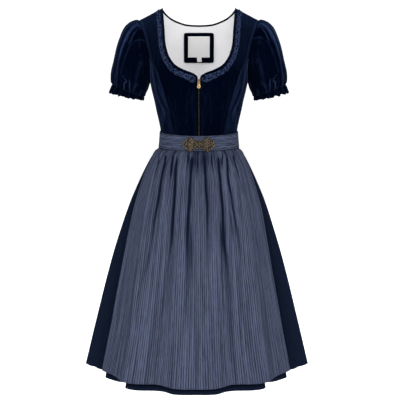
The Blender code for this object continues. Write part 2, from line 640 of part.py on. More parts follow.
def neck_trim():
    """Gathered trim along the front neckline: a plain back on the velvet, and a waved outer face."""
    share = np.linspace(0.0, 0.992, 2 * TRIM_WAVES + 1)
    line = along_curve([TRIM_START, *FRONT_NECK[2:]], share)
    place = np.stack(form_place(line[:, 0], line[:, 1]), axis=-1)
    lines = [crept(place, TRIM_INSET)]
    wider = 1.0 + 0.18 * (1 - ease(share, 0.0, 0.3))
    for _ in range(2):
        lines.append(crept(lines[-1], TRIM_WIDTH / 2 * wider[:, None]))
    lines = np.stack(lines)
    base = bodice_form(lines[..., 0], lines[..., 1])[::-1]
    normal = outward(base)
    wave = np.cos(np.pi * np.arange(len(share)))[None, :]
    crown = np.array([[0.35], [1.0], [0.45]])
    height = TRIM_BASE + TRIM_RISE * crown * (0.5 + 0.5 * wave)
    return base + normal * height[..., None], base + normal * REST_GAP


def zip_chain():
    """The brass chain between the two front edges, from the notch of the neckline to the waist seam."""
    edge = front_panel()[:, 0]
    rows = edge[edge[:, 2] < ZIP_TOP]
    across = np.array([-CHAIN_HALF, CHAIN_HALF])
    points = np.repeat(rows[:, None, :], 2, axis=1)
    points[..., 0] = across
    points[..., 1] -= CHAIN_PROUD
    return points


def flat_shape(name, outlines, thickness, finish, collection):
    """A plate from closed outlines in its own plane: the first is the edge, the others are holes."""
    curve = bpy.data.curves.new(name, "CURVE")
    curve.dimensions = "2D"
    curve.fill_mode = "BOTH"
    curve.extrude = thickness / 2
    for outline in outlines:
        spline = curve.splines.new("POLY")
        spline.points.add(len(outline) - 1)
        spline.use_cyclic_u = True
        for point, place in zip(spline.points, outline):
            point.co = (place[0], place[1], 0.0, 1.0)
    return meshed(add_object(name, curve, finish, collection), collection)


def wire(name, points, radius, finish, collection):
    """A round wire through points."""
    curve = bpy.data.curves.new(name, "CURVE")
    curve.dimensions = "3D"
    curve.bevel_depth = radius
    curve.bevel_resolution = 1
    curve.use_fill_caps = True
    spline = curve.splines.new("POLY")
    spline.points.add(len(points) - 1)
    for point, place in zip(spline.points, points):
        point.co = (*place, 1.0)
    return meshed(add_object(name, curve, finish, collection), collection)


def meshed(obj, collection):
    """The object as a mesh with its caps welded, in place of the curve."""
    bpy.context.view_layer.update()
    graph = bpy.context.evaluated_depsgraph_get()
    data = bpy.data.meshes.new_from_object(obj.evaluated_get(graph))
    work = bmesh.new()
    work.from_mesh(data)
    bmesh.ops.remove_doubles(work, verts=work.verts, dist=1e-6)
    bmesh.ops.recalc_face_normals(work, faces=work.faces)
    work.to_mesh(data)
    work.free()
    name, finish = obj.name, obj.data.materials[0].name
    bpy.data.objects.remove(obj, do_unlink=True)
    data.materials.clear()
    return add_object(name, data, finish, collection)


def circle(x, y, radius, count):
    turn = np.linspace(0.0, 2 * np.pi, count, endpoint=False)
    return [(x + radius * np.cos(a), y + radius * np.sin(a)) for a in turn]


def clasp_half(side, collection):
    """One pierced rosette with the tongue that hooks it to the other, laid on the band."""
    edge = []
    for a in np.radians(np.arange(0.0, 360.0, 360.0 / (ROSETTE_LOBES * 5))):
        r = ROSETTE_R + ROSETTE_LOBE * np.cos(ROSETTE_LOBES * a)
        tongue = (CLASP_X - 0.0010) / max(-np.cos(a), 0.5)
        if np.cos(a) < 0.0 and abs(np.sin(a) * tongue) < TONGUE_HALF:
            r = max(r, tongue)
        edge.append((r * np.cos(a), r * np.sin(a)))
    holes = [circle(0.0135 * np.cos(a), 0.0135 * np.sin(a), 0.0021, 6) for a in np.radians(np.arange(0, 360, 45))]
    outlines = [[(side * x, y) for x, y in shape] for shape in [edge, *holes]]
    plate = flat_shape(f"clasp_{NAMES[side]}", outlines, CLASP_THICK, "clasp", collection)
    front = through(BAND_RINGS, "front", CLASP_Z) + BAND_WALL + TUCK_DEPTH
    width = through(BAND_RINGS, "half_width", CLASP_Z) + BAND_WALL + TUCK_DEPTH
    bearing = np.degrees(np.arcsin((CLASP_X / width) ** (BODICE_ROUND / 2.0)))
    depth = plan_point(bearing, width, front, BODICE_ROUND)[1]
    plate.rotation_euler = (np.radians(90.0 - CLASP_LEAN), 0.0, side * np.radians(CLASP_TURN))
    plate.location = (side * CLASP_X, -depth - CLASP_THICK / 2 - CLASP_OFF, CLASP_Z)
    return plate


NAMES = {1: "right", -1: "left"}


def slider(collection):
    """The zip's slider: a rounded body in front of the chain, with a crown arched over the tab's bar."""
    top = ZIP_TOP - 0.0008
    chain = zip_chain()
    near = chain[chain[:, 0, 2] > top - SLIDER_LONG - 0.03, 0, 1]
    back = near.min() - 0.0003
    bpy.ops.mesh.primitive_cube_add(size=1.0)
    body = bpy.context.object
    body.name = body.data.name = "zip_slider"
    for vertex in body.data.vertices:
        narrow = 1.0 if vertex.co.z > 0 else 0.72
        vertex.co = (vertex.co.x * SLIDER_WIDE * narrow, vertex.co.y * SLIDER_THICK, vertex.co.z * SLIDER_LONG)
    body.location = (0.0, back - SLIDER_THICK / 2, top - SLIDER_LONG / 2)
    body.data.materials.append(material("brass"))
    for holder in list(body.users_collection):
        holder.objects.unlink(body)
    collection.objects.link(body)
    soften = body.modifiers.new("round_edges", "BEVEL")
    soften.width = 0.0006
    soften.segments = 1
    face = back - SLIDER_THICK
    arch = [(0.0, face - out, top - down) for out, down in CROWN]
    cutters = bpy.data.collections.new("helpers")
    bpy.context.scene.collection.children.link(cutters)
    crown = wire("crown", arch, 0.0008, "brass", cutters)
    crown.hide_render = True
    crown.display_type = "WIRE"
    join = body.modifiers.new("crown", "BOOLEAN")
    join.operation = "UNION"
    join.object = crown
    return face, top


def pull_tab(face, top, collection):
    """The tab: a pierced drop-shaped plate whose top bar lies under the slider's crown."""
    end = TAB_WIDE / 2
    outline = [(-0.0031, 0.0007), (0.0031, 0.0007), (0.0032, -0.0070)]
    for a in np.radians(np.linspace(30.0, -210.0, 13)):
        outline.append((end * np.cos(a), -TAB_LONG + end + end * np.sin(a)))
    outline.append((-0.0032, -0.0070))
    window = [(-0.0017, -0.0007), (0.0017, -0.0007), (0.0017, -0.0062), (-0.0017, -0.0062)]
    tab = flat_shape(
        "zip_tab", [outline, window, circle(0.0, -TAB_LONG + end, 0.0021, 10)], TAB_THICK, "brass", collection
    )
    tab.rotation_euler = (np.pi / 2, 0.0, 0.0)
    tab.location = (0.0, face - TAB_OUT, top - TAB_DOWN)
    return tab


def inside_back(name, wide, tall, middle_x, middle_z, inside, thickness, finish, collection, columns=6, rows=4):
    """A bare rectangle inside the back: it follows the back's form, moved in towards the wearer."""
    x, z = np.meshgrid(
        np.linspace(middle_x + wide / 2, middle_x - wide / 2, columns + 1),
        np.linspace(middle_z - tall / 2, middle_z + tall / 2, rows + 1),
    )
    bearing, level = form_place(np.abs(x), z)
    points = bodice_form(bearing, level, back=True, inwards=inside)
    points[..., 0], points[..., 2] = x, z
    return sheet(name, points, thickness, finish, collection)


def pair(name, points, thickness, finish, collection, closed=False):
    """A sheet on the right and its mirror image on the left."""
    sheet(f"{name}_right", points, thickness, finish, collection, closed)
    sheet(f"{name}_left", mirrored(points), thickness, finish, collection, closed)


def main():
    clear_scene()
    collection = bpy.data.collections.new("dirndl")
    bpy.context.scene.collection.children.link(collection)
    back = back_panel()
    pair("bodice_front", front_panel(), VELVET, "velvet", collection)
    pair("bodice_side_front", side_panel(False), VELVET, "velvet", collection)
    pair("bodice_side_back", side_panel(True), VELVET, "velvet", collection)
    pair("bodice_back", back, VELVET, "velvet", collection)
    pair("lining_back", back_lining(back), LINING, "lining", collection)
    puff, turn = sleeve()
    pair("sleeve", puff, VELVET, "velvet", collection, closed=True)
    pair("cuff_frill", cuff_frill(puff, turn), FRILL, "velvet", collection, closed=True)
    for name, (outer, inner), finish in (
        ("neck_trim", neck_trim(), "trim"), ("apron_band", band_half(), "apron")
    ):
        relief(f"{name}_right", outer, inner, finish, collection)
        relief(f"{name}_left", mirrored(outer), mirrored(inner), finish, collection)
    sheet("skirt_front", swayed(whole(skirt_front())), COTTON, "skirt", collection)
    behind = skirt_back()
    sheet("skirt_back_right", swayed(behind), COTTON, "skirt", collection)
    sheet("skirt_back_left", swayed(mirrored(behind)), COTTON, "skirt", collection)
    sheet("apron", swayed(apron()), COTTON, "apron", collection)
    for side in NAMES:
        clasp_half(side, collection)
    sheet("zip_chain", zip_chain(), CHAIN_THICK, "brass", collection)
    face, top = slider(collection)
    pull_tab(face, top, collection)
    inside = VELVET + LINING_GAP + LINING + PATCH_GAP
    inside_back("label_patch", PATCH, PATCH, 0.0, PATCH_Z, inside, LINING, "velvet", collection)
    inside += LINING + LABEL_GAP
    inside_back("label", LABEL, LABEL, 0.0, LABEL_Z, inside, LABEL_THICK, "label", collection)
    inside_back("size_tag", TAG, 0.8 * TAG, 0.0018, TAG_Z, inside, LABEL_THICK, "lining", collection, 1, 1)


main()
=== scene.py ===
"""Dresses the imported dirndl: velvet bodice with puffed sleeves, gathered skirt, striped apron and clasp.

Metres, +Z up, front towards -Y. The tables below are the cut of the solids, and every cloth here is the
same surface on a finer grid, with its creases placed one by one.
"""

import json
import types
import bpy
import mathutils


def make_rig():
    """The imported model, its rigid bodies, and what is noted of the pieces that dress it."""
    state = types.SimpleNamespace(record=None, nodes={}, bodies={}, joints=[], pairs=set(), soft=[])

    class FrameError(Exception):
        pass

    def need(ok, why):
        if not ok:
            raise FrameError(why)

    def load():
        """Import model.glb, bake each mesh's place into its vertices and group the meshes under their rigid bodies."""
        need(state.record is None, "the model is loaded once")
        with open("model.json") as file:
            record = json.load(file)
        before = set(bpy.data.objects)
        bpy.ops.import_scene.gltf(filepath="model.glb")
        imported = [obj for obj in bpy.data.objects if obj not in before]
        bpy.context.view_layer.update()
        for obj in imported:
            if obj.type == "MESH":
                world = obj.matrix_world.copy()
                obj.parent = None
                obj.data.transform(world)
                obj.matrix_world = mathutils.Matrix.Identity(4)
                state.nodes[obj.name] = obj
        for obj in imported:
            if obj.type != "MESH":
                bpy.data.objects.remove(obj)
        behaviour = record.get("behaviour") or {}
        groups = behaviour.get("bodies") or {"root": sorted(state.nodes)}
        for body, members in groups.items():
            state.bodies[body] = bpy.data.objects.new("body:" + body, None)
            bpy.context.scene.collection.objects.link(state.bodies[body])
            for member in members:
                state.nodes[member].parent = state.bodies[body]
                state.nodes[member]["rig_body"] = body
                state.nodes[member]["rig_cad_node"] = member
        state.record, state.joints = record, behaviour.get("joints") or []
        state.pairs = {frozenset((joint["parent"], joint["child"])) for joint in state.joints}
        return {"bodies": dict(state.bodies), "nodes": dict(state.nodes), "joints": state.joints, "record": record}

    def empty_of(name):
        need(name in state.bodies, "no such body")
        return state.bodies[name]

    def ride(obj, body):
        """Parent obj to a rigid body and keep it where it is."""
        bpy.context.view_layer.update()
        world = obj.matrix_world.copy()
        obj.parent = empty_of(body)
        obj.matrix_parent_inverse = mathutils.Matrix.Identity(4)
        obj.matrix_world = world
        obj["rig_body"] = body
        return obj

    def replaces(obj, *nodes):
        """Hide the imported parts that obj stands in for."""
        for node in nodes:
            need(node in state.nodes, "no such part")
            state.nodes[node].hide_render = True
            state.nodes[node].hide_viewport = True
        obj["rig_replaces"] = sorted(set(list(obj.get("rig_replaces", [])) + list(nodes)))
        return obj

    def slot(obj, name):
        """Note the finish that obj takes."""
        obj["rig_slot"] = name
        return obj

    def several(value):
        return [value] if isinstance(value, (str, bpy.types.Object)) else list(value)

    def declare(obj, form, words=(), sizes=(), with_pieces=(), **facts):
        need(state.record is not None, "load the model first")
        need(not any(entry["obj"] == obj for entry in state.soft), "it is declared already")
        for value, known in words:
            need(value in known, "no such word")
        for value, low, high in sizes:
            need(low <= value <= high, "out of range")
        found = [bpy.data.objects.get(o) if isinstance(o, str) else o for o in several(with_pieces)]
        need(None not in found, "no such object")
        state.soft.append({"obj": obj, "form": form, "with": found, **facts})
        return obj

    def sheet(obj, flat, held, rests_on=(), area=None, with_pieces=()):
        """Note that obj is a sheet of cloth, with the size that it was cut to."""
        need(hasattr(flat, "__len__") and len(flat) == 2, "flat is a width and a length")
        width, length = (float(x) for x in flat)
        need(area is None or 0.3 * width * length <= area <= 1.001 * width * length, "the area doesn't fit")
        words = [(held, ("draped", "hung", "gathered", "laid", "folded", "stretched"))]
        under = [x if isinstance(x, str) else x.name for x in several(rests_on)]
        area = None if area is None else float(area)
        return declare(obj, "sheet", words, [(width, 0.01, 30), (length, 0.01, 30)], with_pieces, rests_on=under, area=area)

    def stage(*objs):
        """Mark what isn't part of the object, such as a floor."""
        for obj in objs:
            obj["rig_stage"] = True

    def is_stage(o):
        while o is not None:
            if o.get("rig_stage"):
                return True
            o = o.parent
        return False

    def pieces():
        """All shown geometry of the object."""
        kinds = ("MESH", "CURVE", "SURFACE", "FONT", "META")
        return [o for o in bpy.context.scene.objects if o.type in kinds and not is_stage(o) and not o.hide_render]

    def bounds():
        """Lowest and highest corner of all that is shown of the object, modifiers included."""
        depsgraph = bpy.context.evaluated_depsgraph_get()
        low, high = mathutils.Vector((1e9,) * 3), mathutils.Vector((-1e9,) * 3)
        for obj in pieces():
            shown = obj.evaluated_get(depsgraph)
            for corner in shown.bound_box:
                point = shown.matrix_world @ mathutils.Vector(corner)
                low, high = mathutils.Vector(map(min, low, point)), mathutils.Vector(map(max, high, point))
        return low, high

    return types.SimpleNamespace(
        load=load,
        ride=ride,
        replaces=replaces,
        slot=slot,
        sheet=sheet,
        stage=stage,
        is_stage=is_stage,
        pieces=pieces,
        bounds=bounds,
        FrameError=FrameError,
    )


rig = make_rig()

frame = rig.load()

import json
from collections import namedtuple

import bpy
import numpy as np
from bpy.props import FloatProperty, FloatVectorProperty, PointerProperty
from mathutils import Euler

BOX_AT_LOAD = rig.bounds()

bl_info = {
    "name": "Dirndl",
    "version": (1, 0, 0),
    "blender": (4, 5, 0),
    "location": "View3D > Sidebar > Dirndl",
    "description": "Velvet and cotton pieces, fastenings and stage of a dirndl",
    "category": "Object",
}

# Walls of the cloths, and how far an edge lies over or off what is next to it
VELVET, COTTON, LINING, FRILL, EDGING, TAPE = 0.0016, 0.0012, 0.0010, 0.0014, 0.0012, 0.0009
SLEEVE_LAP, SEAM_LAP, LINING_GAP = 0.0018, 0.0004, 0.0007

# Grids: points across and up
FRONT_COLUMNS, BACK_COLUMNS, SIDE_COLUMNS, SIDE_ROWS, ROW_STEPS = 44, 40, 30, 73, 6
SLEEVE_COLUMNS, SLEEVE_ROWS, FRILL_ROWS, ARMHOLE_STEPS = 240, 72, 14, 600
SKIRT_ROWS, HALF_FRONT_COLUMNS, FLAP_COLUMNS, WAVE_COLUMNS = 84, 150, 60, 180
APRON_COLUMNS, APRON_ROWS, BAND_COLUMNS, BAND_ROWS = 401, 110, 200, 64
TRIM_COLUMNS, TRIM_ROWS, ROLL_POINTS, ZIP_POINTS, PLATE_COLUMNS, PLATE_ROWS = 420, 26, 160, 90, 84, 34

# Heights of the main seams
WAIST_SEAM, ARMPIT, HEM, APRON_HEM = -0.4425, -0.2350, -1.1600, -1.1385
BAND_TOP, BAND_FOOT = -0.3935, -0.4445

# Bodice: shoulder seam, roundness of its plan, and how the armhole cuts into the side and rises
NECK_END_X, NECK_END_Z, SHOULDER_SLOPE = 0.1138, -0.0090, 0.527
BODICE_ROUND, ARMHOLE_CUT, ARMHOLE_BOWL, SHOULDER_SPREAD = 2.2, 21.0, 0.42, 0.046
# A centre panel's rows on the solid: up the seam first, then these shares of the way up the armhole
SEAM_ROWS, PANEL_ROWS = 8, 16
ARMHOLE_ROWS = (0.0, 0.18, 0.34, 0.49, 0.63, 0.76, 0.88, 0.965, 1.0)
BUST_Z, BUST_BEARING, BUST_REACH_Z, BUST_REACH_BEARING, BUST_OUT = -0.250, 37.0, 0.050, 19.0, 0.009
# How deep a panel is pressed in at its seams, how far from them that and the painted shade beside them reach,
# and the cloth that one degree of bearing covers
PRESSED, PRESSED_REACH, PRESSED_SHADE_REACH, METRES_PER_BEARING = 0.0009, 0.0026, 0.0022, 0.0024
# The zip's half width and its top, how far below that its tape starts, and how deep the tape lies
ZIP_HALF, ZIP_TOP, TAPE_BELOW_TOP, TAPE_DEEP = 0.0032, -0.2195, 0.0040, 0.0024

# Half width, front depth and back depth of the bodice at each height
Ring = namedtuple("Ring", "height half_width front back")
BODICE_RINGS = [
    Ring(WAIST_SEAM, 0.1215, 0.0920, 0.0800), Ring(-0.3950, 0.1208, 0.0928, 0.0808),
    Ring(-0.3570, 0.1275, 0.0995, 0.0865), Ring(-0.3285, 0.1340, 0.1068, 0.0908),
    Ring(-0.2950, 0.1407, 0.1150, 0.0950), Ring(-0.2645, 0.1481, 0.1210, 0.0985),
    Ring(ARMPIT, 0.1540, 0.1240, 0.1010),
]
# Princess seams on the bodice form, from the waist up to the armhole
Seam = namedtuple("Seam", "level bearing")
FRONT_SEAM = [
    Seam(-1.00, 35.5), Seam(-0.69, 36.4), Seam(-0.40, 39.0), Seam(-0.20, 42.6), Seam(-0.02, 46.4),
    Seam(0.09, 51.5), Seam(0.165, 58.5), Seam(0.236, 69.2),
]
BACK_SEAM = [
    Seam(-1.00, 36.0), Seam(-0.62, 38.0), Seam(-0.30, 41.5), Seam(-0.05, 48.0),
    Seam(0.11, 57.5), Seam(0.20, 65.3), Seam(0.262, 69.2),
]
# Necklines as (x, z), from the middle to the shoulder
FRONT_NECK = np.array([
    (0.0032, -0.2220), (0.0078, -0.2110), (0.0180, -0.2040), (0.0444, -0.1938), (0.0732, -0.1780),
    (0.0912, -0.1538), (0.1014, -0.1226), (0.1063, -0.0705), (0.1105, -0.0300), (0.1130, -0.0125),
    (0.1137, -0.0096), (0.1138, -0.0090),
])
BACK_NECK = np.array([
    (0.0003, -0.0630), (0.0300, -0.0615), (0.0520, -0.0570), (0.0820, -0.0440),
    (0.1000, -0.0300), (0.1110, -0.0155), (0.1134, -0.0100), (0.1138, -0.0090),
])
LINING_NECK = np.array([
    (0.0006, -0.0685), (0.0298, -0.0670), (0.0532, -0.0624), (0.0845, -0.0490),
    (0.1040, -0.0338), (0.1152, -0.0200), (0.1184, -0.0148), (0.1190, -0.0120),
])

# Ovals of the sleeve: the outer and inner end of each, and how far it reaches to the front and back
Section = namedtuple("Section", "along outer_x outer_z inner_x inner_z front back")
SLEEVE_SECTIONS = [
    Section(0.00, 0.1880, -0.0480, 0.1540, -0.2350, 0.048, 0.045),
    Section(0.10, 0.2040, -0.0500, 0.1555, -0.2440, 0.060, 0.056),
    Section(0.22, 0.2272, -0.0668, 0.1570, -0.2520, 0.070, 0.066),
    Section(0.38, 0.2464, -0.1041, 0.1600, -0.2610, 0.076, 0.072),
    Section(0.60, 0.2640, -0.1604, 0.1640, -0.2690, 0.077, 0.073),
    Section(0.80, 0.2768, -0.2080, 0.1680, -0.2765, 0.068, 0.065),
    Section(0.93, 0.2770, -0.2370, 0.1705, -0.2810, 0.055, 0.054),
    Section(1.00, 0.2740, -0.2450, 0.1725, -0.2825, 0.048, 0.047),
]
# Gathers round the sleeve, and the cloth that one degree round it covers
SLEEVE_GATHERS, SLEEVE_FINE_GATHERS, METRES_PER_TURN_DEGREE = 10, 31, 0.00125
# Depths of the gathers, how far the cuff leans in on its outer side, and how far the crown stands up
CAP_DEPTH, CUFF_DEPTH, CUFF_MORE, FINE_DEPTH, CUFF_LEAN, CROWN_RISE = 0.0016, 0.0010, 0.0008, 0.0010, 0.0018, 0.0026
# The frill's waves and length, how far it flares, is drawn in on its outer side and waves, and its nip at the elastic
FRILL_WAVES, FRILL_LENGTH = 14, 0.0205
FRILL_FLARE, FRILL_PULL, FRILL_WAVE, FRILL_NIP = 0.0010, 0.0022, 0.0030, 0.0012

# The skirt's form at each height, and how far it hangs to one side
Skirt = namedtuple("Skirt", "height half_width front back round sway")
SKIRT_RINGS = [
    Skirt(-0.4432, 0.1215, 0.0920, 0.0800, 2.2, 0.0000), Skirt(-0.4530, 0.1355, 0.1000, 0.0965, 2.2, -0.0012),
    Skirt(-0.4700, 0.1465, 0.1095, 0.1105, 2.15, -0.0018), Skirt(-0.5000, 0.1640, 0.1230, 0.1290, 2.1, -0.0025),
    Skirt(-0.5900, 0.2060, 0.1600, 0.1720, 2.0, -0.0033),
    Skirt(-0.7200, 0.2517, 0.2020, 0.2150, 1.9, -0.0050), Skirt(-0.8700, 0.2958, 0.2370, 0.2540, 1.85, -0.0058),
    Skirt(-1.0200, 0.3345, 0.2650, 0.2850, 1.8, -0.0064), Skirt(HEM, 0.3685, 0.2900, 0.3080, 1.8, -0.0068),
]
# Its top and side seam, how much more its front sways, and the front's gathers, half width and lower middle hem
SKIRT_TOP, SKIRT_SEAM, FRONT_SWAY, FRONT_GATHERS, FRONT_REACH, HEM_DROP = -0.4432, 62.0, 2.5, 5, 0.30, 0.0030
# Hems seen from above, as (x, y)
SKIRT_HEM_FRONT = np.array([
    (0.000, 0.3045), (0.045, 0.3040), (0.066, 0.2990), (0.083, 0.2850), (0.100, 0.2680), (0.118, 0.2590),
    (0.145, 0.2570), (0.172, 0.2555), (0.195, 0.2490), (0.211, 0.2385), (0.217, 0.2275), (0.211, 0.2140),
    (0.197, 0.2040), (0.188, 0.1930), (0.194, 0.1840), (0.212, 0.1820), (0.235, 0.1770), (0.260, 0.1640),
    (0.279, 0.1480), (0.288, 0.1330), (0.283, 0.1190), (0.272, 0.1090),
]) * (1, -1)
SKIRT_HEM_SIDE = np.array([
    (0.2716, 0.1084), (0.2630, 0.0970), (0.2650, 0.0850), (0.2800, 0.0770), (0.3080, 0.0650),
    (0.3355, 0.0430), (0.3560, 0.0180), (0.3685, 0.0000),
]) * (1, -1)
# Folds of a back half, depths of the gathers, and how far the cloth hangs in at the side
BACK_FOLDS, BACK_FOLD_DEPTH, WAIST_GATHER, FINE_GATHER, SLACK, SLACK_LOW = 7, 0.034, 0.0020, 0.0014, 0.0014, 0.0022
APRON_HEM_FRONT = np.array([
    (0.000, 0.3090), (0.038, 0.3085), (0.064, 0.3020), (0.084, 0.2860), (0.104, 0.2690), (0.130, 0.2620),
    (0.163, 0.2608), (0.194, 0.2560), (0.216, 0.2435), (0.229, 0.2230), (0.243, 0.1980), (0.261, 0.1740),
    (0.283, 0.1520), (0.297, 0.1320),
]) * (1, -1)
# The apron's side edge, how far it stands off the skirt, and how far its folds and gathers rise and fall
Side = namedtuple("Side", "height bearing")
APRON_SIDE = [
    Side(BAND_FOOT, 75.0), Side(-0.500, 69.5), Side(-0.560, 65.5), Side(-0.637, 62.0), Side(-0.776, 57.5),
    Side(-0.920, 56.0), Side(APRON_HEM, 56.0),
]
APRON_TOP, APRON_STANDOFF, APRON_TOP_FRONT, APRON_TOP_SIDE = -0.4449, 0.0042, 0.0018, 0.0042
FOLD_MOST, FOLD_RISE, BAND_RISE, LEAST_RISE, GATHER_WIDTH, GATHER_DEPTH = 0.0125, 0.0150, 0.0018, 0.0012, 0.0019, 0.0026
# Colour of the painted shade deep in the apron's folds
APRON_PAINTED_SHADE = (0.0036, 0.0056, 0.0150)
# The band's form under its wall, its rows of tucks, how far its top dips at the front, and its thinner edges
BAND_RINGS = [
    Ring(BAND_FOOT, 0.1258, 0.0962, 0.0842), Ring(-0.4200, 0.1237, 0.0952, 0.0831),
    Ring(BAND_TOP, 0.1219, 0.0946, 0.0826),
]
BAND_LINES, BAND_WALL, TUCK_DEPTH, BAND_DIP, BAND_EDGE = 7, 0.0014, 0.0011, 0.0040, 0.0005
# Edging beside the neckline: where it starts, how far in it lies, its width, height and puffs, and the rolled edge
TRIM_START, TRIM_INSET, TRIM_WIDTH = (0.0085, -0.2084), 0.0072, 0.0156
TRIM_BASE, TRIM_RISE, TRIM_PUFFS, ROLL_RADIUS, ROLL_BACK = 0.0018, 0.0026, 36, 0.0015, 0.0003
# A clasp half: its middle, thickness, turn and lean in degrees and distance off the band, then heights on its plate
CLASP_X, CLASP_Z, CLASP_THICK, CLASP_TURN, CLASP_LEAN, CLASP_OFF = 0.0262, -0.4232, 0.0018, 7.0, 4.0, 0.0018
PLATE_TOP, PLATE_DOME, PLATE_SUNK, PLATE_UNDER, RIM_INSET, WIRE_LIFT = 0.0016, 0.0006, 0.0013, -0.0005, 0.0011, 0.0011
# Holes and grains of a half, as (along, to both sides, radius), and its upper outline from where the halves meet
CLASP_HOLES = (
    (0.0058, 0.0066, 0.0027), (0.0010, 0.0000, 0.0018), (0.0106, 0.0104, 0.0023), (0.0124, 0.0030, 0.0024),
    (0.0168, 0.0082, 0.0025), (0.0182, 0.0000, 0.0021), (0.0196, 0.0142, 0.0025), (0.0222, 0.0190, 0.0018),
    (0.0305, 0.0150, 0.0025), (0.0302, 0.0076, 0.0021), (0.0352, 0.0106, 0.0025), (0.0346, 0.0030, 0.0023),
    (0.0404, 0.0058, 0.0023), (0.0452, 0.0000, 0.0023), (0.0268, 0.0205, 0.0016),
)
CLASP_GRAINS = (
    (0.0085, 0.0085, 0.0011), (0.0150, 0.0030, 0.0011), (0.0138, 0.0098, 0.0011), (0.0205, 0.0050, 0.0010),
    (0.0330, 0.0050, 0.0011), (0.0330, 0.0115, 0.0011), (0.0375, 0.0065, 0.0010), (0.0420, 0.0022, 0.0010),
    (0.0250, 0.0225, 0.0012), (0.0285, 0.0180, 0.0011),
)
CLASP_EDGE = np.array([
    (0.0004, 0.0080), (0.0030, 0.0120), (0.0070, 0.0135), (0.0110, 0.0120), (0.0135, 0.0098), (0.0152, 0.0135),
    (0.0172, 0.0185), (0.0200, 0.0205), (0.0240, 0.0212), (0.0270, 0.0242), (0.0300, 0.0215), (0.0330, 0.0180),
    (0.0360, 0.0158), (0.0390, 0.0166), (0.0420, 0.0136), (0.0450, 0.0098), (0.0482, 0.0072), (0.0505, 0.0036),
    (0.0512, 0.0),
])
# Patch, label and size tab inside the back: sizes, heights of their middles, and gaps
PATCH, LABEL, LABEL_TALL, TAG = 0.0960, 0.0690, 0.0672, 0.0146
PATCH_Z, LABEL_Z, TAG_Z = -0.1355, -0.1325, -0.1732
PATCH_GAP, LABEL_GAP, LABEL_THICK = 0.0021, 0.0007, 0.0008

# Stage: the camera in pixels of the picture, and the lamps, which all look at one point
PICTURE, FOCAL_PIXELS, SENSOR, FRAME_SHIFT, CAMERA_Z, CAMERA_TILT = 400, 1142, 36.0, 0.00275, 0.02, 80.0
FLOOR_HALF, FLOOR_GLOW, WORLD_LIGHT, WORLD_SEEN, LAMPS_AIM = 8.0, 0.62, 0.34, 1.1, (0.0, 0.0, -0.6)
Lamp = namedtuple("Lamp", "name at size power")
LAMPS = [
    Lamp("key", (-2.6, -3.4, 1.6), 2.4, 95.0), Lamp("fill", (2.8, -3.2, 1.2), 2.4, 90.0),
    Lamp("front", (0.0, -4.4, 1.4), 2.0, 60.0), Lamp("top", (0.0, -0.8, 3.0), 2.5, 60.0),
    Lamp("behind", (0.4, 3.6, 1.2), 3.0, 70.0),
]

# A crease: how deep and how wide it is, its stations as (place down, place across, strength), and how much paler
# the cloth is painted there: a painted highlight on a ridge, and painted shade, less than 0, in a dark fold
Crease = namedtuple("Crease", "depth width stations pale")


def creases(across, rows):
    """Creases from whole numbers: depth and width in tenths of a millimetre, paleness in thousandths, and stations
    with their place down in thousandths, their place across in parts of 1 / across, and strength in hundredths."""
    return [
        Crease(depth / 10000, width / 10000, np.array(stations) / (1000, across, 100), pale / 1000)
        for depth, width, pale, *stations in rows
    ]


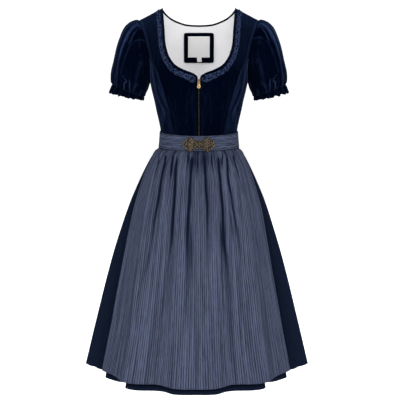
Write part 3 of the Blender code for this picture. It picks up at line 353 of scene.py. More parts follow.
# Places down and across: metres of height and shares of half the apron or of a skirt width; shares of the sleeve's
# length and degrees round it; levels and bearings on the bodice form
APRON_CREASES = creases(1000, [
    (50, 28, -600, (-458, -755, 60), (-474, -680, 90), (-491, -650, 100), (-506, -650, 80), (-524, -640, 45),
        (-547, -640, 20), (-573, -630, 0)),
    (100, 38, -1000, (-456, -590, 30), (-465, -560, 70), (-487, -520, 100), (-506, -520, 100), (-528, -520, 95),
        (-558, -515, 90), (-590, -515, 85), (-619, -520, 70), (-651, -530, 65), (-698, -530, 55), (-741, -540, 45),
        (-779, -555, 30), (-834, -560, 20), (-902, -575, 12), (-974, -595, 0)),
    (60, 30, -950, (-458, -425, 50), (-471, -405, 90), (-487, -385, 100), (-506, -375, 95), (-524, -370, 50),
        (-558, -370, 35), (-584, -380, 20), (-607, -380, 0)),
    (110, 36, -1000, (-458, -340, 30), (-474, -325, 70), (-495, -315, 100), (-515, -305, 100), (-547, -295, 100),
        (-573, -290, 100), (-601, -290, 100), (-632, -290, 95), (-664, -290, 90), (-698, -290, 80), (-741, -300, 65),
        (-771, -310, 58), (-810, -320, 55), (-851, -330, 55), (-893, -345, 50), (-946, -360, 45), (-992, -370, 42),
        (-1030, -380, 40), (-1078, -380, 35), (-1128, -375, 30)),
    (50, 22, -700, (-450, -165, 60), (-460, -150, 100), (-474, -150, 60), (-495, -150, 30), (-515, -145, 0)),
    (100, 36, -1000, (-458, -85, 30), (-471, -90, 90), (-491, -90, 100), (-519, -90, 95), (-558, -95, 100),
        (-584, -95, 100), (-613, -100, 85), (-644, -105, 80), (-684, -105, 72), (-726, -100, 65), (-771, -95, 55),
        (-818, -90, 45), (-876, -85, 40), (-937, -75, 40), (-974, -70, 35), (-1020, -65, 20), (-1078, -60, 0)),
    (50, 26, -550, (-625, -75, 0), (-664, -65, 50), (-712, -55, 90), (-763, -50, 100), (-810, -45, 90),
        (-859, -45, 75), (-911, -40, 75), (-955, -40, 50), (-1011, -35, 0)),
    (40, 40, -350, (-463, -10, 40), (-480, -5, 100), (-515, 5, 90), (-552, 10, 75), (-596, 5, 50), (-638, 5, 0)),
    (100, 36, -1000, (-452, 80, 50), (-465, 85, 80), (-491, 90, 100), (-519, 100, 100), (-558, 105, 95),
        (-584, 115, 85), (-613, 120, 72), (-657, 120, 60), (-712, 125, 50), (-771, 120, 38), (-834, 115, 28),
        (-885, 110, 15), (-946, 105, 0)),
    (50, 26, -700, (-450, 200, 60), (-460, 195, 100), (-487, 195, 80), (-519, 210, 55), (-558, 225, 20),
        (-579, 235, 0)),
    (105, 36, -1000, (-458, 310, 30), (-474, 310, 90), (-498, 300, 100), (-528, 305, 100), (-558, 305, 100),
        (-584, 310, 100), (-613, 315, 100), (-644, 315, 95), (-677, 320, 90), (-719, 330, 85), (-763, 345, 80),
        (-810, 355, 70), (-851, 365, 66), (-902, 365, 62), (-946, 360, 60), (-992, 355, 58), (-1030, 350, 52),
        (-1078, 340, 42), (-1128, 325, 30)),
    (40, 22, -500, (-638, 275, 0), (-670, 280, 80), (-719, 290, 100), (-763, 285, 100), (-810, 280, 90),
        (-851, 275, 80), (-902, 285, 90), (-937, 295, 60), (-983, 295, 0)),
    (90, 34, -1000, (-463, 480, 50), (-477, 460, 90), (-502, 435, 100), (-528, 430, 100), (-552, 435, 95),
        (-573, 445, 72), (-607, 450, 66), (-632, 465, 60), (-664, 480, 58), (-691, 495, 50), (-726, 510, 42),
        (-763, 525, 30), (-810, 525, 20), (-859, 525, 8), (-902, 520, 0)),
    (40, 26, -400, (-601, 405, 0), (-632, 415, 80), (-670, 430, 100), (-705, 440, 80), (-741, 455, 50),
        (-779, 460, 0)),
    (40, 20, -700, (-450, 410, 60), (-463, 385, 100), (-480, 360, 60), (-502, 335, 0)),
    (60, 28, -750, (-453, 660, 50), (-468, 615, 100), (-484, 595, 90), (-506, 595, 75), (-533, 605, 50),
        (-563, 620, 35), (-590, 635, 0)),
    (40, 30, -420, (-625, 685, 0), (-657, 730, 60), (-698, 765, 80), (-748, 800, 100), (-794, 810, 100),
        (-843, 815, 85), (-885, 810, 75), (-937, 820, 60), (-992, 820, 45), (-1040, 800, 0)),
    (40, 36, -320, (-733, -545, 0), (-756, -560, 70), (-794, -570, 100), (-843, -590, 100), (-893, -605, 90),
        (-946, -615, 70), (-1011, -620, 40), (-1059, -620, 0)),
    (30, 30, -280, (-928, 390, 0), (-965, 410, 80), (-1011, 435, 100), (-1049, 445, 90), (-1088, 445, 50),
        (-1128, 445, 30)),
    (30, 40, -200, (-902, -880, 0), (-965, -880, 80), (-1030, -875, 100), (-1098, -870, 80), (-1139, -865, 50)),
    (20, 40, -180, (-928, 100, 0), (-965, 110, 80), (-1020, 115, 100), (-1078, 120, 80), (-1128, 110, 40)),
    (20, 40, -180, (-876, -185, 0), (-937, -190, 80), (-1002, -200, 100), (-1059, -195, 80), (-1128, -190, 40)),
    (-20, 34, 100, (-491, -140, 0), (-519, -140, 80), (-552, -140, 100), (-596, -145, 60), (-625, -155, 0)),
    (-20, 34, 100, (-601, -440, 0), (-651, -435, 80), (-712, -440, 100), (-771, -450, 100), (-826, -460, 60),
        (-885, -475, 0)),
    (-20, 34, 100, (-632, 350, 0), (-677, 370, 80), (-726, 385, 100), (-779, 400, 80), (-834, 410, 0)),
    (-20, 34, 100, (-677, 915, 0), (-726, 915, 100), (-779, 930, 100), (-826, 930, 80), (-885, 935, 0)),
])
APRON_GATHERS = np.array([
    (-840, 500), (-745, 400), (-650, 900), (-535, 700), (-485, 500), (-395, 700), (-295, 400), (-230, 600),
    (-195, 500), (-130, 500), (-65, 700), (-35, 900), (-5, 800), (25, 400), (55, 600), (115, 600), (145, 800),
    (245, 700), (285, 400), (350, 500), (455, 600), (550, 800), (600, 700), (710, 700), (785, 600),
]) / 1000
SLEEVE_CREASES = creases(1, [
    (-38, 34, 550, (93, 20, 50), (129, 27, 80), (180, 33, 90), (246, 36, 100), (315, 38, 100), (400, 39, 100),
        (473, 40, 80), (547, 40, 55), (638, 42, 40), (746, 46, 35), (840, 48, 20)),
    (-24, 21, 320, (93, 29, 30), (117, 38, 80), (155, 46, 100), (193, 51, 100), (233, 53, 60), (274, 53, 0)),
    (70, 45, -100, (81, 21, 30), (105, 27, 80), (155, 33, 100), (206, 38, 100), (274, 40, 90), (315, 45, 50),
        (371, 50, 0)),
    (60, 60, -50, (81, 33, 30), (105, 44, 90), (142, 54, 100), (206, 60, 90), (301, 63, 50), (386, 69, 0)),
    (-20, 55, 70, (93, 48, 0), (117, 68, 80), (129, 86, 100), (193, 96, 100), (315, 102, 100), (473, 105, 80),
        (668, 106, 50), (792, 106, 20)),
    (24, 60, -20, (206, 76, 0), (301, 87, 80), (458, 92, 100), (607, 96, 60), (730, 99, 0)),
    (24, 50, -20, (81, 84, 0), (105, 104, 80), (167, 117, 100), (371, 126, 70), (577, 128, 0)),
    (-10, 34, 20, (81, 101, 0), (105, 115, 100), (167, 136, 100), (458, 148, 0)),
    (-34, 22, 500, (684, 58, 20), (699, 68, 90), (714, 75, 100), (808, 76, 100), (919, 75, 80), (1000, 74, 30)),
    (-30, 24, 340, (653, 86, 0), (699, 90, 100), (777, 93, 100), (887, 94, 70), (1000, 96, 30)),
    (-18, 22, 220, (746, 33, 0), (824, 36, 80), (919, 38, 80), (1000, 44, 20)),
    (44, 34, -50, (668, 78, 0), (761, 81, 100), (856, 84, 100), (1000, 82, 70)),
    (50, 40, -50, (730, 54, 0), (808, 56, 100), (903, 56, 100), (1000, 57, 70)),
    (-16, 36, 120, (517, 115, 0), (638, 111, 90), (746, 108, 100), (872, 106, 70)),
    (-16, 30, 120, (562, 138, 0), (730, 134, 100), (887, 132, 50)),
    (30, 32, -30, (684, 115, 0), (777, 119, 100), (919, 119, 70)),
    (-36, 36, 420, (100, 338, 40), (140, 334, 90), (220, 330, 100), (330, 326, 100), (450, 324, 80), (580, 322, 40),
        (700, 320, 0)),
    (-24, 24, 300, (90, 326, 30), (120, 318, 90), (170, 311, 100), (230, 307, 50), (280, 306, 0)),
    (66, 48, -100, (80, 332, 30), (120, 326, 90), (170, 320, 100), (240, 319, 80), (340, 314, 0)),
    (56, 60, -50, (70, 316, 30), (110, 305, 100), (180, 298, 100), (280, 293, 60), (400, 288, 0)),
    (-20, 55, 80, (100, 292, 0), (140, 275, 100), (220, 262, 100), (360, 256, 100), (520, 254, 60), (700, 252, 0)),
    (24, 60, -20, (200, 280, 0), (340, 270, 100), (500, 268, 80), (660, 266, 0)),
    (22, 50, -20, (120, 250, 0), (200, 238, 100), (400, 232, 70), (600, 230, 0)),
    (-32, 24, 420, (670, 300, 20), (710, 288, 100), (820, 285, 100), (930, 286, 70), (1000, 288, 30)),
    (-28, 24, 300, (640, 272, 0), (700, 268, 100), (790, 266, 100), (900, 266, 60), (1000, 264, 30)),
    (44, 36, -50, (660, 281, 0), (740, 277, 100), (860, 276, 100), (1000, 277, 70)),
    (46, 40, -50, (720, 306, 0), (790, 300, 100), (880, 299, 100), (1000, 302, 70)),
    (-18, 26, 200, (740, 328, 0), (820, 324, 90), (920, 322, 80), (1000, 318, 20)),
    (30, 34, -30, (620, 246, 0), (720, 243, 100), (880, 242, 80), (1000, 242, 30)),
])
BODICE_CREASES = creases(10, [
    (-12, 46, 520, (245, 637, 30), (183, 640, 70), (115, 650, 100), (50, 645, 100), (-22, 627, 100), (-127, 625, 70),
        (-218, 630, 40), (-280, 635, 0)),
    (-14, 40, 520, (-155, 587, 0), (-245, 595, 60), (-320, 570, 100), (-392, 530, 100), (-453, 517, 90),
        (-530, 527, 40), (-593, 545, 0)),
    (-8, 26, 320, (230, 640, 30), (173, 590, 100), (105, 542, 100), (35, 505, 100), (-42, 472, 100), (-160, 452, 90),
        (-280, 437, 60), (-385, 412, 30), (-460, 387, 0)),
    (-10, 46, 240, (25, 532, 0), (-75, 515, 80), (-193, 492, 100), (-312, 465, 80), (-402, 440, 30)),
    (14, 34, -100, (-20, 587, 0), (-122, 570, 100), (-240, 525, 100), (-343, 477, 100), (-417, 452, 40)),
    (-8, 70, 170, (-377, 550, 0), (-502, 590, 100), (-630, 642, 100), (-755, 680, 70), (-877, 692, 50)),
    (-6, 34, 80, (-525, 452, 0), (-617, 465, 100), (-740, 482, 60), (-863, 482, 0)),
    (-4, 22, 70, (-155, 370, 0), (-230, 372, 100), (-338, 365, 100), (-443, 347, 80), (-532, 335, 90),
        (-655, 332, 80), (-762, 332, 50)),
    (-6, 28, 50, (-180, 127, 0), (-300, 132, 100), (-420, 142, 100), (-542, 147, 80), (-650, 147, 30)),
    (-6, 30, 38, (-120, 67, 0), (-237, 67, 100), (-390, 77, 80), (-510, 75, 40), (-603, 70, 0)),
    (-6, 40, 34, (-297, 35, 0), (-450, 37, 100), (-603, 42, 100), (-725, 40, 50)),
    (-6, 36, 30, (-32, 189, 0), (-120, 192, 100), (-225, 197, 60), (-300, 204, 0)),
    (-6, 40, 30, (-137, 282, 0), (-257, 287, 100), (-362, 292, 90), (-470, 292, 40)),
    (-5, 44, 26, (-30, 92, 0), (-120, 99, 100), (-208, 109, 50), (-270, 119, 0)),
    (12, 60, -20, (-240, 232, 0), (-422, 242, 100), (-605, 247, 100), (-758, 244, 60)),
    (16, 100, -30, (20, 580, 0), (180, 630, 60), (400, 620, 100), (620, 600, 50), (800, 600, 0)),
    (16, 100, -30, (-990, 660, 40), (-800, 670, 100), (-500, 690, 60), (-300, 700, 0)),
    (16, 90, -30, (-990, 800, 40), (-700, 790, 100), (-350, 780, 40), (-150, 770, 0)),
])
BACK_CREASES = creases(10, [
    (-12, 46, 400, (220, 720, 30), (140, 700, 90), (20, 660, 100), (-120, 620, 80), (-260, 580, 40), (-360, 550, 0)),
    (-8, 26, 280, (220, 660, 30), (140, 610, 100), (20, 550, 100), (-120, 500, 90), (-300, 460, 60), (-500, 420, 0)),
    (-8, 60, 160, (-360, 560, 0), (-520, 600, 100), (-680, 640, 90), (-900, 670, 40)),
    (16, 80, -30, (-980, 90, 30), (-780, 100, 100), (-500, 120, 60), (-250, 130, 0)),
    (-6, 34, 50, (-900, 150, 30), (-640, 155, 100), (-360, 165, 80), (-100, 175, 0)),
    (18, 90, -30, (-980, 220, 20), (-700, 230, 100), (-420, 250, 50), (-200, 260, 0)),
    (-5, 30, 50, (-800, 305, 40), (-560, 315, 100), (-300, 340, 80), (-120, 360, 0)),
    (20, 120, -30, (50, 500, 0), (280, 520, 100), (500, 500, 60), (700, 490, 0)),
    (18, 100, -30, (-990, 580, 40), (-800, 600, 100), (-500, 630, 60), (-200, 660, 0)),
    (16, 90, -30, (-990, 760, 40), (-720, 760, 100), (-400, 770, 40), (-150, 770, 0)),
])
SKIRT_FRONT_CREASES = creases(1000, [
    (60, 180, 0, (-520, 800, 0), (-660, 830, 80), (-850, 860, 100), (-1160, 885, 100)),
    (50, 160, 0, (-600, 620, 0), (-780, 660, 80), (-1160, 700, 100)),
    (-45, 200, 0, (-620, 920, 0), (-800, 940, 90), (-1160, 950, 60)),
])
SKIRT_BACK_CREASES = creases(1000, [
    (50, 160, 0, (-500, 60, 0), (-660, 70, 80), (-900, 75, 100), (-1160, 80, 80)),
    (60, 180, 0, (-550, 160, 0), (-720, 165, 80), (-1160, 170, 100)),
    (50, 200, 0, (-480, 330, 0), (-600, 335, 100), (-900, 340, 70), (-1160, 345, 50)),
    (60, 180, 0, (-500, 520, 20), (-660, 525, 100), (-950, 530, 50), (-1160, 530, 30)),
    (45, 180, 0, (-560, 700, 0), (-800, 700, 100), (-1160, 705, 70)),
    (55, 180, 0, (-480, 870, 0), (-620, 870, 100), (-920, 875, 60), (-1160, 880, 40)),
])


def curve(keys, values, at):
    """Smooth values between keys: cubic pieces with finite-difference slopes, held beyond both ends."""
    keys, values = np.asarray(keys, float), np.asarray(values, float)
    if keys[0] > keys[-1]:
        keys, values = keys[::-1], values[::-1]
    slopes = np.gradient(values, keys)
    at = np.clip(np.asarray(at, float), keys[0], keys[-1])
    piece = np.clip(np.searchsorted(keys, at, side="right") - 1, 0, len(keys) - 2)
    span = keys[piece + 1] - keys[piece]
    s = (at - keys[piece]) / span
    start, end = values[piece], values[piece + 1]
    rise, fall = slopes[piece] * span, slopes[piece + 1] * span
    left = start * (1 + 2 * s) * (1 - s) ** 2 + rise * s * (1 - s) ** 2
    return left + end * s * s * (3 - 2 * s) + fall * s * s * (s - 1)


def through(rows, column, at):
    """A table's column as a smooth function of its first column."""
    return curve([row[0] for row in rows], [getattr(row, column) for row in rows], at)


def along_curve(points, at):
    """Points at these shares of the length of a smooth curve through the given points."""
    points = np.asarray(points, float)
    chord = along_line(points)
    return np.stack([curve(chord / chord[-1], points[:, k], at) for k in range(points.shape[1])], axis=-1)


def ease(x, low, high):
    """0 below low, 1 above high, and smooth between."""
    s = np.clip((np.asarray(x, float) - low) / (high - low), 0.0, 1.0)
    return s * s * (3 - 2 * s)


def unit(vectors):
    """Each vector divided by its length."""
    return vectors / np.maximum(np.linalg.norm(vectors, axis=-1, keepdims=True), 1e-12)


def bell(far, reach, power=2):
    """1 where far is 0, and exp(-1) where it is the reach."""
    return np.exp(-((far / reach) ** power))


def creased(table, column, down, across, reach, turn=None, wider=1.0):
    """Depth or paleness of all creases, the paleness being painted highlight and shade: each is a bell across its
    own line, as strong as its stations say. Places across times the reach are metres, and places on a ring come
    round again after a turn."""
    total = 0.0
    for crease in table:
        keys, places, strengths = crease.stations.T
        far = across - curve(keys, places, down)
        if turn:
            far = (far + turn / 2) % turn - turn / 2
        strength = np.clip(curve(keys, strengths, down), 0.0, 1.0)
        total = total + getattr(crease, column) * strength * bell(far * reach, crease.width * wider)
    return total


def plan_point(bearing, half_width, depth, roundness):
    """x and depth on a rounded oval, for a bearing of 0 to 90 degrees from its middle."""
    turn, power = np.radians(np.clip(bearing, 0.0, 90.0)), 2.0 / roundness
    return half_width * np.sin(turn) ** power, depth * np.clip(np.cos(turn), 0.0, 1.0) ** power


def plan_bearing(x, half_width):
    """The bearing at which the bodice's oval is this far to the side."""
    return np.degrees(np.arcsin(np.clip(x / half_width, 0.0, 1.0) ** (BODICE_ROUND / 2.0)))


def shoulder_z(x):
    """Height of the straight shoulder seam."""
    return NECK_END_Z - SHOULDER_SLOPE * (x - NECK_END_X)


def bodice_form(bearing, level, back=False, inwards=0.0):
    """The right half of the bodice's outer face: level -1 is the waist, 0 the armpit, 1 the shoulder seam."""
    bearing, level = np.broadcast_arrays(np.asarray(bearing, float), np.asarray(level, float))
    low, high = np.minimum(level, 0.0), np.clip(level, 0.0, 1.0) * np.pi / 2
    height = ARMPIT + low * (ARMPIT - WAIST_SEAM)
    half_width = through(BODICE_RINGS, "half_width", height) + SHOULDER_SPREAD * np.sin(high) ** 1.5
    depth = (through(BODICE_RINGS, "back" if back else "front", height) - inwards) * np.cos(high)
    x, y = plan_point(bearing, half_width - inwards, depth, BODICE_ROUND)
    z = np.where(level > 0, ARMPIT + np.sin(high) * (shoulder_z(x) - inwards - ARMPIT), height)
    if not back:
        bust = np.exp(-(((z - BUST_Z) / BUST_REACH_Z) ** 2) - ((bearing - BUST_BEARING) / BUST_REACH_BEARING) ** 2)
        y = y + BUST_OUT * bust
    x, y = np.maximum(x, 0.0), np.maximum(y, 0.0)
    return np.stack([x, y if back else -y, z], axis=-1)


def form_place(x, z):
    """The bearing and level on the bodice form of a point above the armpit, seen from the front."""
    lift = np.clip((z - ARMPIT) / (shoulder_z(x) - ARMPIT), 0.0, 1.0)
    half_width = BODICE_RINGS[-1].half_width + SHOULDER_SPREAD * lift**1.5
    return np.stack([plan_bearing(x, half_width), np.degrees(np.arcsin(lift)) / 90.0], axis=-1)


def armhole_bearing(level):
    """Bearing of the armhole's edge: the side seam at the armpit, then a round bowl, then straight up."""
    lift = np.sin(np.clip(level, 0.0, 1.0) * np.pi / 2)
    return 90.0 - ARMHOLE_CUT * np.sqrt(1.0 - (1.0 - np.minimum(lift / ARMHOLE_BOWL, 1.0)) ** 2)


def armhole_level(bearing):
    """Level of the armhole's edge at a bearing, inside its bowl."""
    share = np.clip((90.0 - bearing) / ARMHOLE_CUT, 0.0, 1.0)
    return np.degrees(np.arcsin(ARMHOLE_BOWL * (1.0 - np.sqrt(1.0 - share**2)))) / 90.0


def mirrored(points):
    """The same grid on the other side, its faces still pointing out."""
    return (points * np.array([-1.0, 1.0, 1.0]))[:, ::-1]


def both_sides(points, *values):
    """The right grid and its mirror image, each with the values that go with its points."""
    return ("right", points, *values), ("left", mirrored(points), *(value[:, ::-1] for value in values))


def along_line(points):
    """How far along a line of points each of them lies."""
    return np.concatenate([[0.0], np.cumsum(np.linalg.norm(np.diff(points, axis=0), axis=1))])


def outward(points, closed=False):
    """Unit normals of a grid, by finite differences."""
    if closed:
        across = np.roll(points, -1, axis=1) - np.roll(points, 1, axis=1)
    else:
        across = np.gradient(points, axis=1)
    return unit(np.cross(across, np.gradient(points, axis=0)))


def level_out(points):
    """Unit directions out of a grid, kept level so that moved points stay at their height."""
    return unit(outward(points) * np.array([1.0, 1.0, 0.0]))


def row_lengths(points):
    """How far along its row each point of a grid lies."""
    step = np.linalg.norm(np.diff(points, axis=1), axis=-1)
    return np.concatenate([np.zeros((len(points), 1)), np.cumsum(step, axis=1)], axis=1)


def grid_faces(rows, columns, closed=False):
    """Quads of a grid whose points run along its rows, bottom row first."""
    index = np.arange(rows * columns).reshape(rows, columns)
    here = index if closed else index[:, :-1]
    following = np.roll(index, -1, axis=1) if closed else index[:, 1:]
    return np.stack([here[:-1], following[:-1], following[1:], here[1:]], axis=-1).reshape(-1, 4)


def add_piece(name, points, faces, finishes, uv=None, height=None):
    """A mesh from whole arrays, riding on the dress. Its faces are groups of like faces, and with it go its cloth
    coordinates in metres and the height that its finish reads."""
    mesh = bpy.data.meshes.new(name)
    mesh.from_pydata(points.reshape(-1, 3).tolist(), [], sum((group.tolist() for group in faces), []))
    mesh.shade_smooth()
    if uv is not None:
        corner = np.empty(len(mesh.loops), dtype=np.int32)
        mesh.loops.foreach_get("vertex_index", corner)
        mesh.uv_layers.new(name="cloth").data.foreach_set("uv", uv.reshape(-1, 2)[corner].astype(np.float32).ravel())
    if height is not None:
        mesh.attributes.new("height", "FLOAT", "POINT").data.foreach_set("value", height.astype(np.float32).ravel())
    for finish in finishes:
        mesh.materials.append(finish)
    piece = bpy.data.objects.new(name, mesh)
    bpy.context.scene.collection.objects.link(piece)
    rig.ride(piece, "dress")
    return piece


def cloth(name, points, wall, finishes, closed=False, uv=None, height=None):
    """A sheet of cloth over a grid of points. Its wall grows inwards, and its inner face takes the last finish."""
    rows, columns = points.shape[:2]
    piece = add_piece(name, points, [grid_faces(rows, columns, closed)], finishes, uv, height)
    solid = piece.modifiers.new("wall", "SOLIDIFY")
    solid.thickness = wall
    solid.offset = -1.0
    solid.material_offset = len(finishes) - 1
    return piece


def panel_rows():
    """Rows of a centre panel, several to each row of the solid."""
    return np.arange(PANEL_ROWS * ROW_STEPS + 1) / ROW_STEPS


def spread(count):
    """Shares from 0 to 1 that lie closer together near both ends."""
    return 0.5 - 0.5 * np.cos(np.pi * np.linspace(0.0, 1.0, count))


def outer_edge(seam, row):
    """Up a centre panel's outer edge, as (bearing, level): the seam as far as row 8, then the armhole."""
    top = seam[-1].level
    share = curve(np.arange(len(ARMHOLE_ROWS)), ARMHOLE_ROWS, row - SEAM_ROWS)
    level = np.where(row <= SEAM_ROWS, -1.0 + (1.0 + top) * row / SEAM_ROWS, top + share * (1.0 - top))
    bearing = np.where(row <= SEAM_ROWS, through(seam, "bearing", level), armhole_bearing(level))
    return np.stack([bearing, level], axis=-1)


def panel_between(inner, outer, columns):
    """A panel's places: from its inner edge to its outer edge in each row."""
    share = spread(columns)[None, :, None]
    return inner[:, None] * (1 - share) + outer[:, None] * share


def neck_edge(neck, row):
    """Along a neckline, as (bearing, level): its points stand at whole rows, the last at the shoulder."""
    at = row - (PANEL_ROWS - len(neck) + 1)
    line = np.stack([curve(np.arange(len(neck)), neck[:, k], at) for k in (0, 1)], axis=-1)
    place = form_place(line[:, 0], line[:, 1])
    place[-1, 1] = 1.0
    return place


def front_place():
    """Centre front as (bearing, level): rows between the zip and neckline, and the seam and armhole."""
    row = panel_rows()
    below = PANEL_ROWS - len(FRONT_NECK) + 1
    height = WAIST_SEAM + (FRONT_NECK[0, 1] - WAIST_SEAM) * row / below
    width = through(BODICE_RINGS, "half_width", height)
    low = np.stack([plan_bearing(ZIP_HALF, width), (height - ARMPIT) / (ARMPIT - WAIST_SEAM)], axis=-1)
    by_zip = np.where((height > ARMPIT)[:, None], form_place(np.full(len(row), ZIP_HALF), height), low)
    inner = np.where((row < below)[:, None], by_zip, neck_edge(FRONT_NECK, row))
    return panel_between(inner, outer_edge(FRONT_SEAM, row), FRONT_COLUMNS)


def back_place(neck):
    """Centre back as (bearing, level): rows between the middle seam and neckline, and the seam and armhole."""
    row = panel_rows()
    below = PANEL_ROWS - len(neck) + 1
    first = form_place(neck[0, 0], neck[0, 1] - 0.0055)[1]
    levels = np.append(np.linspace(-1.0, first - 0.11, below - 1), [first, form_place(*neck[0])[1]])
    middle = np.stack([np.zeros(len(row)), np.interp(row, np.arange(below + 1), levels)], axis=-1)
    inner = np.where((row < below)[:, None], middle, neck_edge(neck, row))
    return panel_between(inner, outer_edge(BACK_SEAM, row), BACK_COLUMNS)


def side_place(seam):
    """Side front or side back as (bearing, level): from the seam to the side seam, cut away by the armhole."""
    up = np.linspace(0.0, 1.0, SIDE_ROWS)[:, None]
    first = through(seam, "bearing", -1.0 + up * (1.0 + seam[-1].level))
    bearing = first + (90.0 - first) * spread(SIDE_COLUMNS)[None, :]
    top = armhole_level(bearing[-1:, :])
    top[0, 0] = seam[-1].level
    return np.stack([bearing, -1.0 + up * (1.0 + top)], axis=-1)


def tailored(place, table, back=False):
    """A panel on the bodice form: pressed down at its seams, and creased where the tables say. With it goes how
    pale the pile is painted: painted highlights beside the princess seam, towards the side, at the shoulder and on
    the creases' ridges, and painted shade in the creases' folds and beside the seams."""
    points = bodice_form(place[..., 0], place[..., 1], back=back)
    bearing, level = place[..., 0], place[..., 1]
    beside = bearing - through(BACK_SEAM if back else FRONT_SEAM, "bearing", level)
    # Painted highlights: paler beside the princess seam, towards the side and at the shoulder, where the velvet catches
    # the light.
    pale = 0.09 * ease(beside, -1, 3) + 0.08 * ease(level, 0.05, 0.30) + 0.10 * ease(level, 0.45, 0.80) + 0.006
    far = row_lengths(points)
    ends = np.minimum(far, far[:, -1:] - far)
    folds, light_and_pile = (creased(table, column, level, bearing, METRES_PER_BEARING) for column in ("depth", "pale"))
    out = outward(points) * (-1.0 if back else 1.0)
    points = points - out * (folds + PRESSED * bell(ends, PRESSED_REACH))[..., None]
    points[..., 0] = np.maximum(points[..., 0], 0.0)
    # Painted shade beside the pressed seams, over the creases' painted highlights and shade.
    pale = np.clip((pale + 1.1 * light_and_pile) * (1 - 0.85 * bell(ends, PRESSED_SHADE_REACH)), 0.0, 1.0)
    return (points[:, ::-1], pale[:, ::-1]) if back else (points, pale)


def armhole_loop(count):
    """The armhole's edge at even shares: down the front from the shoulder point, and up the back again."""
    level = np.linspace(1.0, 0.0, ARMHOLE_STEPS) ** 2
    halves = []
    for back in (False, True):
        edge = bodice_form(armhole_bearing(level), level, back=back)
        far = along_line(edge)
        at = np.linspace(0.0, far[-1], count // 2 + 1)
        halves.append(np.stack([np.interp(at, far, edge[:, k]) for k in range(3)], axis=-1))
    return np.concatenate([halves[0][:-1], halves[1][::-1][:-1]])


def sleeve(shift):
    """A puffed sleeve: oval sections between the armhole and the cuff. Cosine gathers fade out from both ends, and
    the creases are placed. The shift makes the two sleeves' gathers differ. With the points go the turn round the
    sleeve and how pale the pile is painted: painted highlights along its outer side, on the gathers' crests and on
    ridges, and painted shade in its folds, at the armhole and towards the cuff."""
    turn = np.arange(SLEEVE_COLUMNS)[None, :] * 360.0 / SLEEVE_COLUMNS
    along = np.linspace(1.0, 0.0, SLEEVE_ROWS)[:, None] ** 1.15
    outer, inner = (
        np.stack([through(SLEEVE_SECTIONS, end + axis, along) for axis in ("_x", "_z")], axis=-1)
        for end in ("outer", "inner")
    )
    angle = np.radians(turn)
    front, back = (through(SLEEVE_SECTIONS, column, along) for column in ("front", "back"))
    depth = np.where(turn <= 180.0, front, back)
    flat = (outer + inner) / 2 + (outer - inner) / 2 * np.cos(angle)[..., None]
    ring = np.stack([flat[..., 0], -depth * np.sin(angle), flat[..., 1]], axis=-1)
    start = armhole_loop(SLEEVE_COLUMNS)[None] - np.array([SLEEVE_LAP, 0.0, 0.0])
    share = ease(along, 0.0, 0.16)[..., None]
    points = start * (1 - share) + ring * share

    on_top = 0.35 + 0.65 * np.cos(angle / 2) ** 2
    cap = np.cos(angle * SLEEVE_GATHERS + 0.6 + 0.7 * np.sin(2 * angle + shift))
    cap = cap * on_top * (1 - ease(along, 0.16, 0.55))
    cuff = np.cos(angle * SLEEVE_GATHERS * 2 + 2.0 + 0.9 * np.sin(3 * angle + shift)) * ease(along, 0.60, 0.92)
    cuff_depth = CUFF_DEPTH + CUFF_MORE * (1 - ease(along, 0.92, 1.0))
    swell = (CAP_DEPTH * cap + cuff_depth * cuff) * ease(along, 0.0, 0.05)
    fine = FINE_DEPTH * np.cos(angle * SLEEVE_FINE_GATHERS + 1.3 * np.sin(4 * angle))
    fine = fine * (1 - ease(along, 0.06, 0.20)) * ease(along, 0.0, 0.02)
    lean = CUFF_LEAN * ease(along, 0.55, 0.90) * (0.5 + 0.5 * np.cos(angle)) ** 2
    crown = CROWN_RISE * ease(along, 0.02, 0.10) * (1 - ease(along, 0.45, 0.75)) * np.cos(angle / 2) ** 6
    folds, light_and_pile = (
        creased(SLEEVE_CREASES, column, along, turn - 9 * shift, METRES_PER_TURN_DEGREE, 360.0)
        for column in ("depth", "pale")
    )
    out = swell + fine + crown - folds * ease(along, 0.0, 0.04) - lean

    inside = 0.5 - 0.5 * np.cos(angle)
    # Painted highlight along the outer side and on the gathers' crests, the creases' painted highlights and shade, and
    # painted shade at the armhole seam and towards the cuff.
    rim = 0.20 * (1 - ease(inside, 0.0, 0.10)) * (1 - ease(along, 0.40, 0.75)) + 0.06 * (1 - ease(inside, 0.0, 0.25))
    ends = ease(along, 0.005, 0.06) * (1 - 0.6 * ease(along, 0.95, 1.0))
    pale = np.clip((rim + 0.004 + 1.7 * light_and_pile + 12 * swell) * ends, 0.0, 1.0)
    points, out = points[:, ::-1], out[:, ::-1]
    return points + outward(points, closed=True) * out[..., None], angle[0, ::-1], pale[:, ::-1]


def cuff_frill(sleeve_points, turn):
    """The frill below the elastic: it starts at the drawn-in edge and flares in cosine waves, longer on its outer
    side. With the points goes how pale the pile is painted: a painted highlight on the waves' crests."""
    edge = sleeve_points[0]
    last = SLEEVE_SECTIONS[-1]
    down = np.array([last.inner_z - last.outer_z, 0.0, last.outer_x - last.inner_x])
    down = -down * np.sign(down[2]) / np.linalg.norm(down)
    out = unit(edge - edge.mean(axis=0))
    share, turn = np.linspace(1.0, 0.0, FRILL_ROWS)[:, None], turn[None]
    wave = FRILL_WAVES * turn + 0.5 * np.sin(2 * turn)
    flare = (FRILL_FLARE - FRILL_PULL * np.cos(turn / 2) ** 8) * share - FRILL_NIP * bell(share, 0.10)
    flare = flare + FRILL_WAVE * np.sqrt(share) * np.cos(wave + 0.8)
    dip = FRILL_LENGTH * share * (1.0 + 0.42 * np.cos(turn) + 0.07 * share * np.cos(wave + 2.4))
    # Painted highlight on the crests of the waves.
    pale = np.clip(0.01 + 0.09 * np.cos(wave + 0.8) ** 3 * np.sqrt(share), 0.0, 1.0)
    return edge[None] + out[None] * flare[..., None] + down * dip[..., None], pale


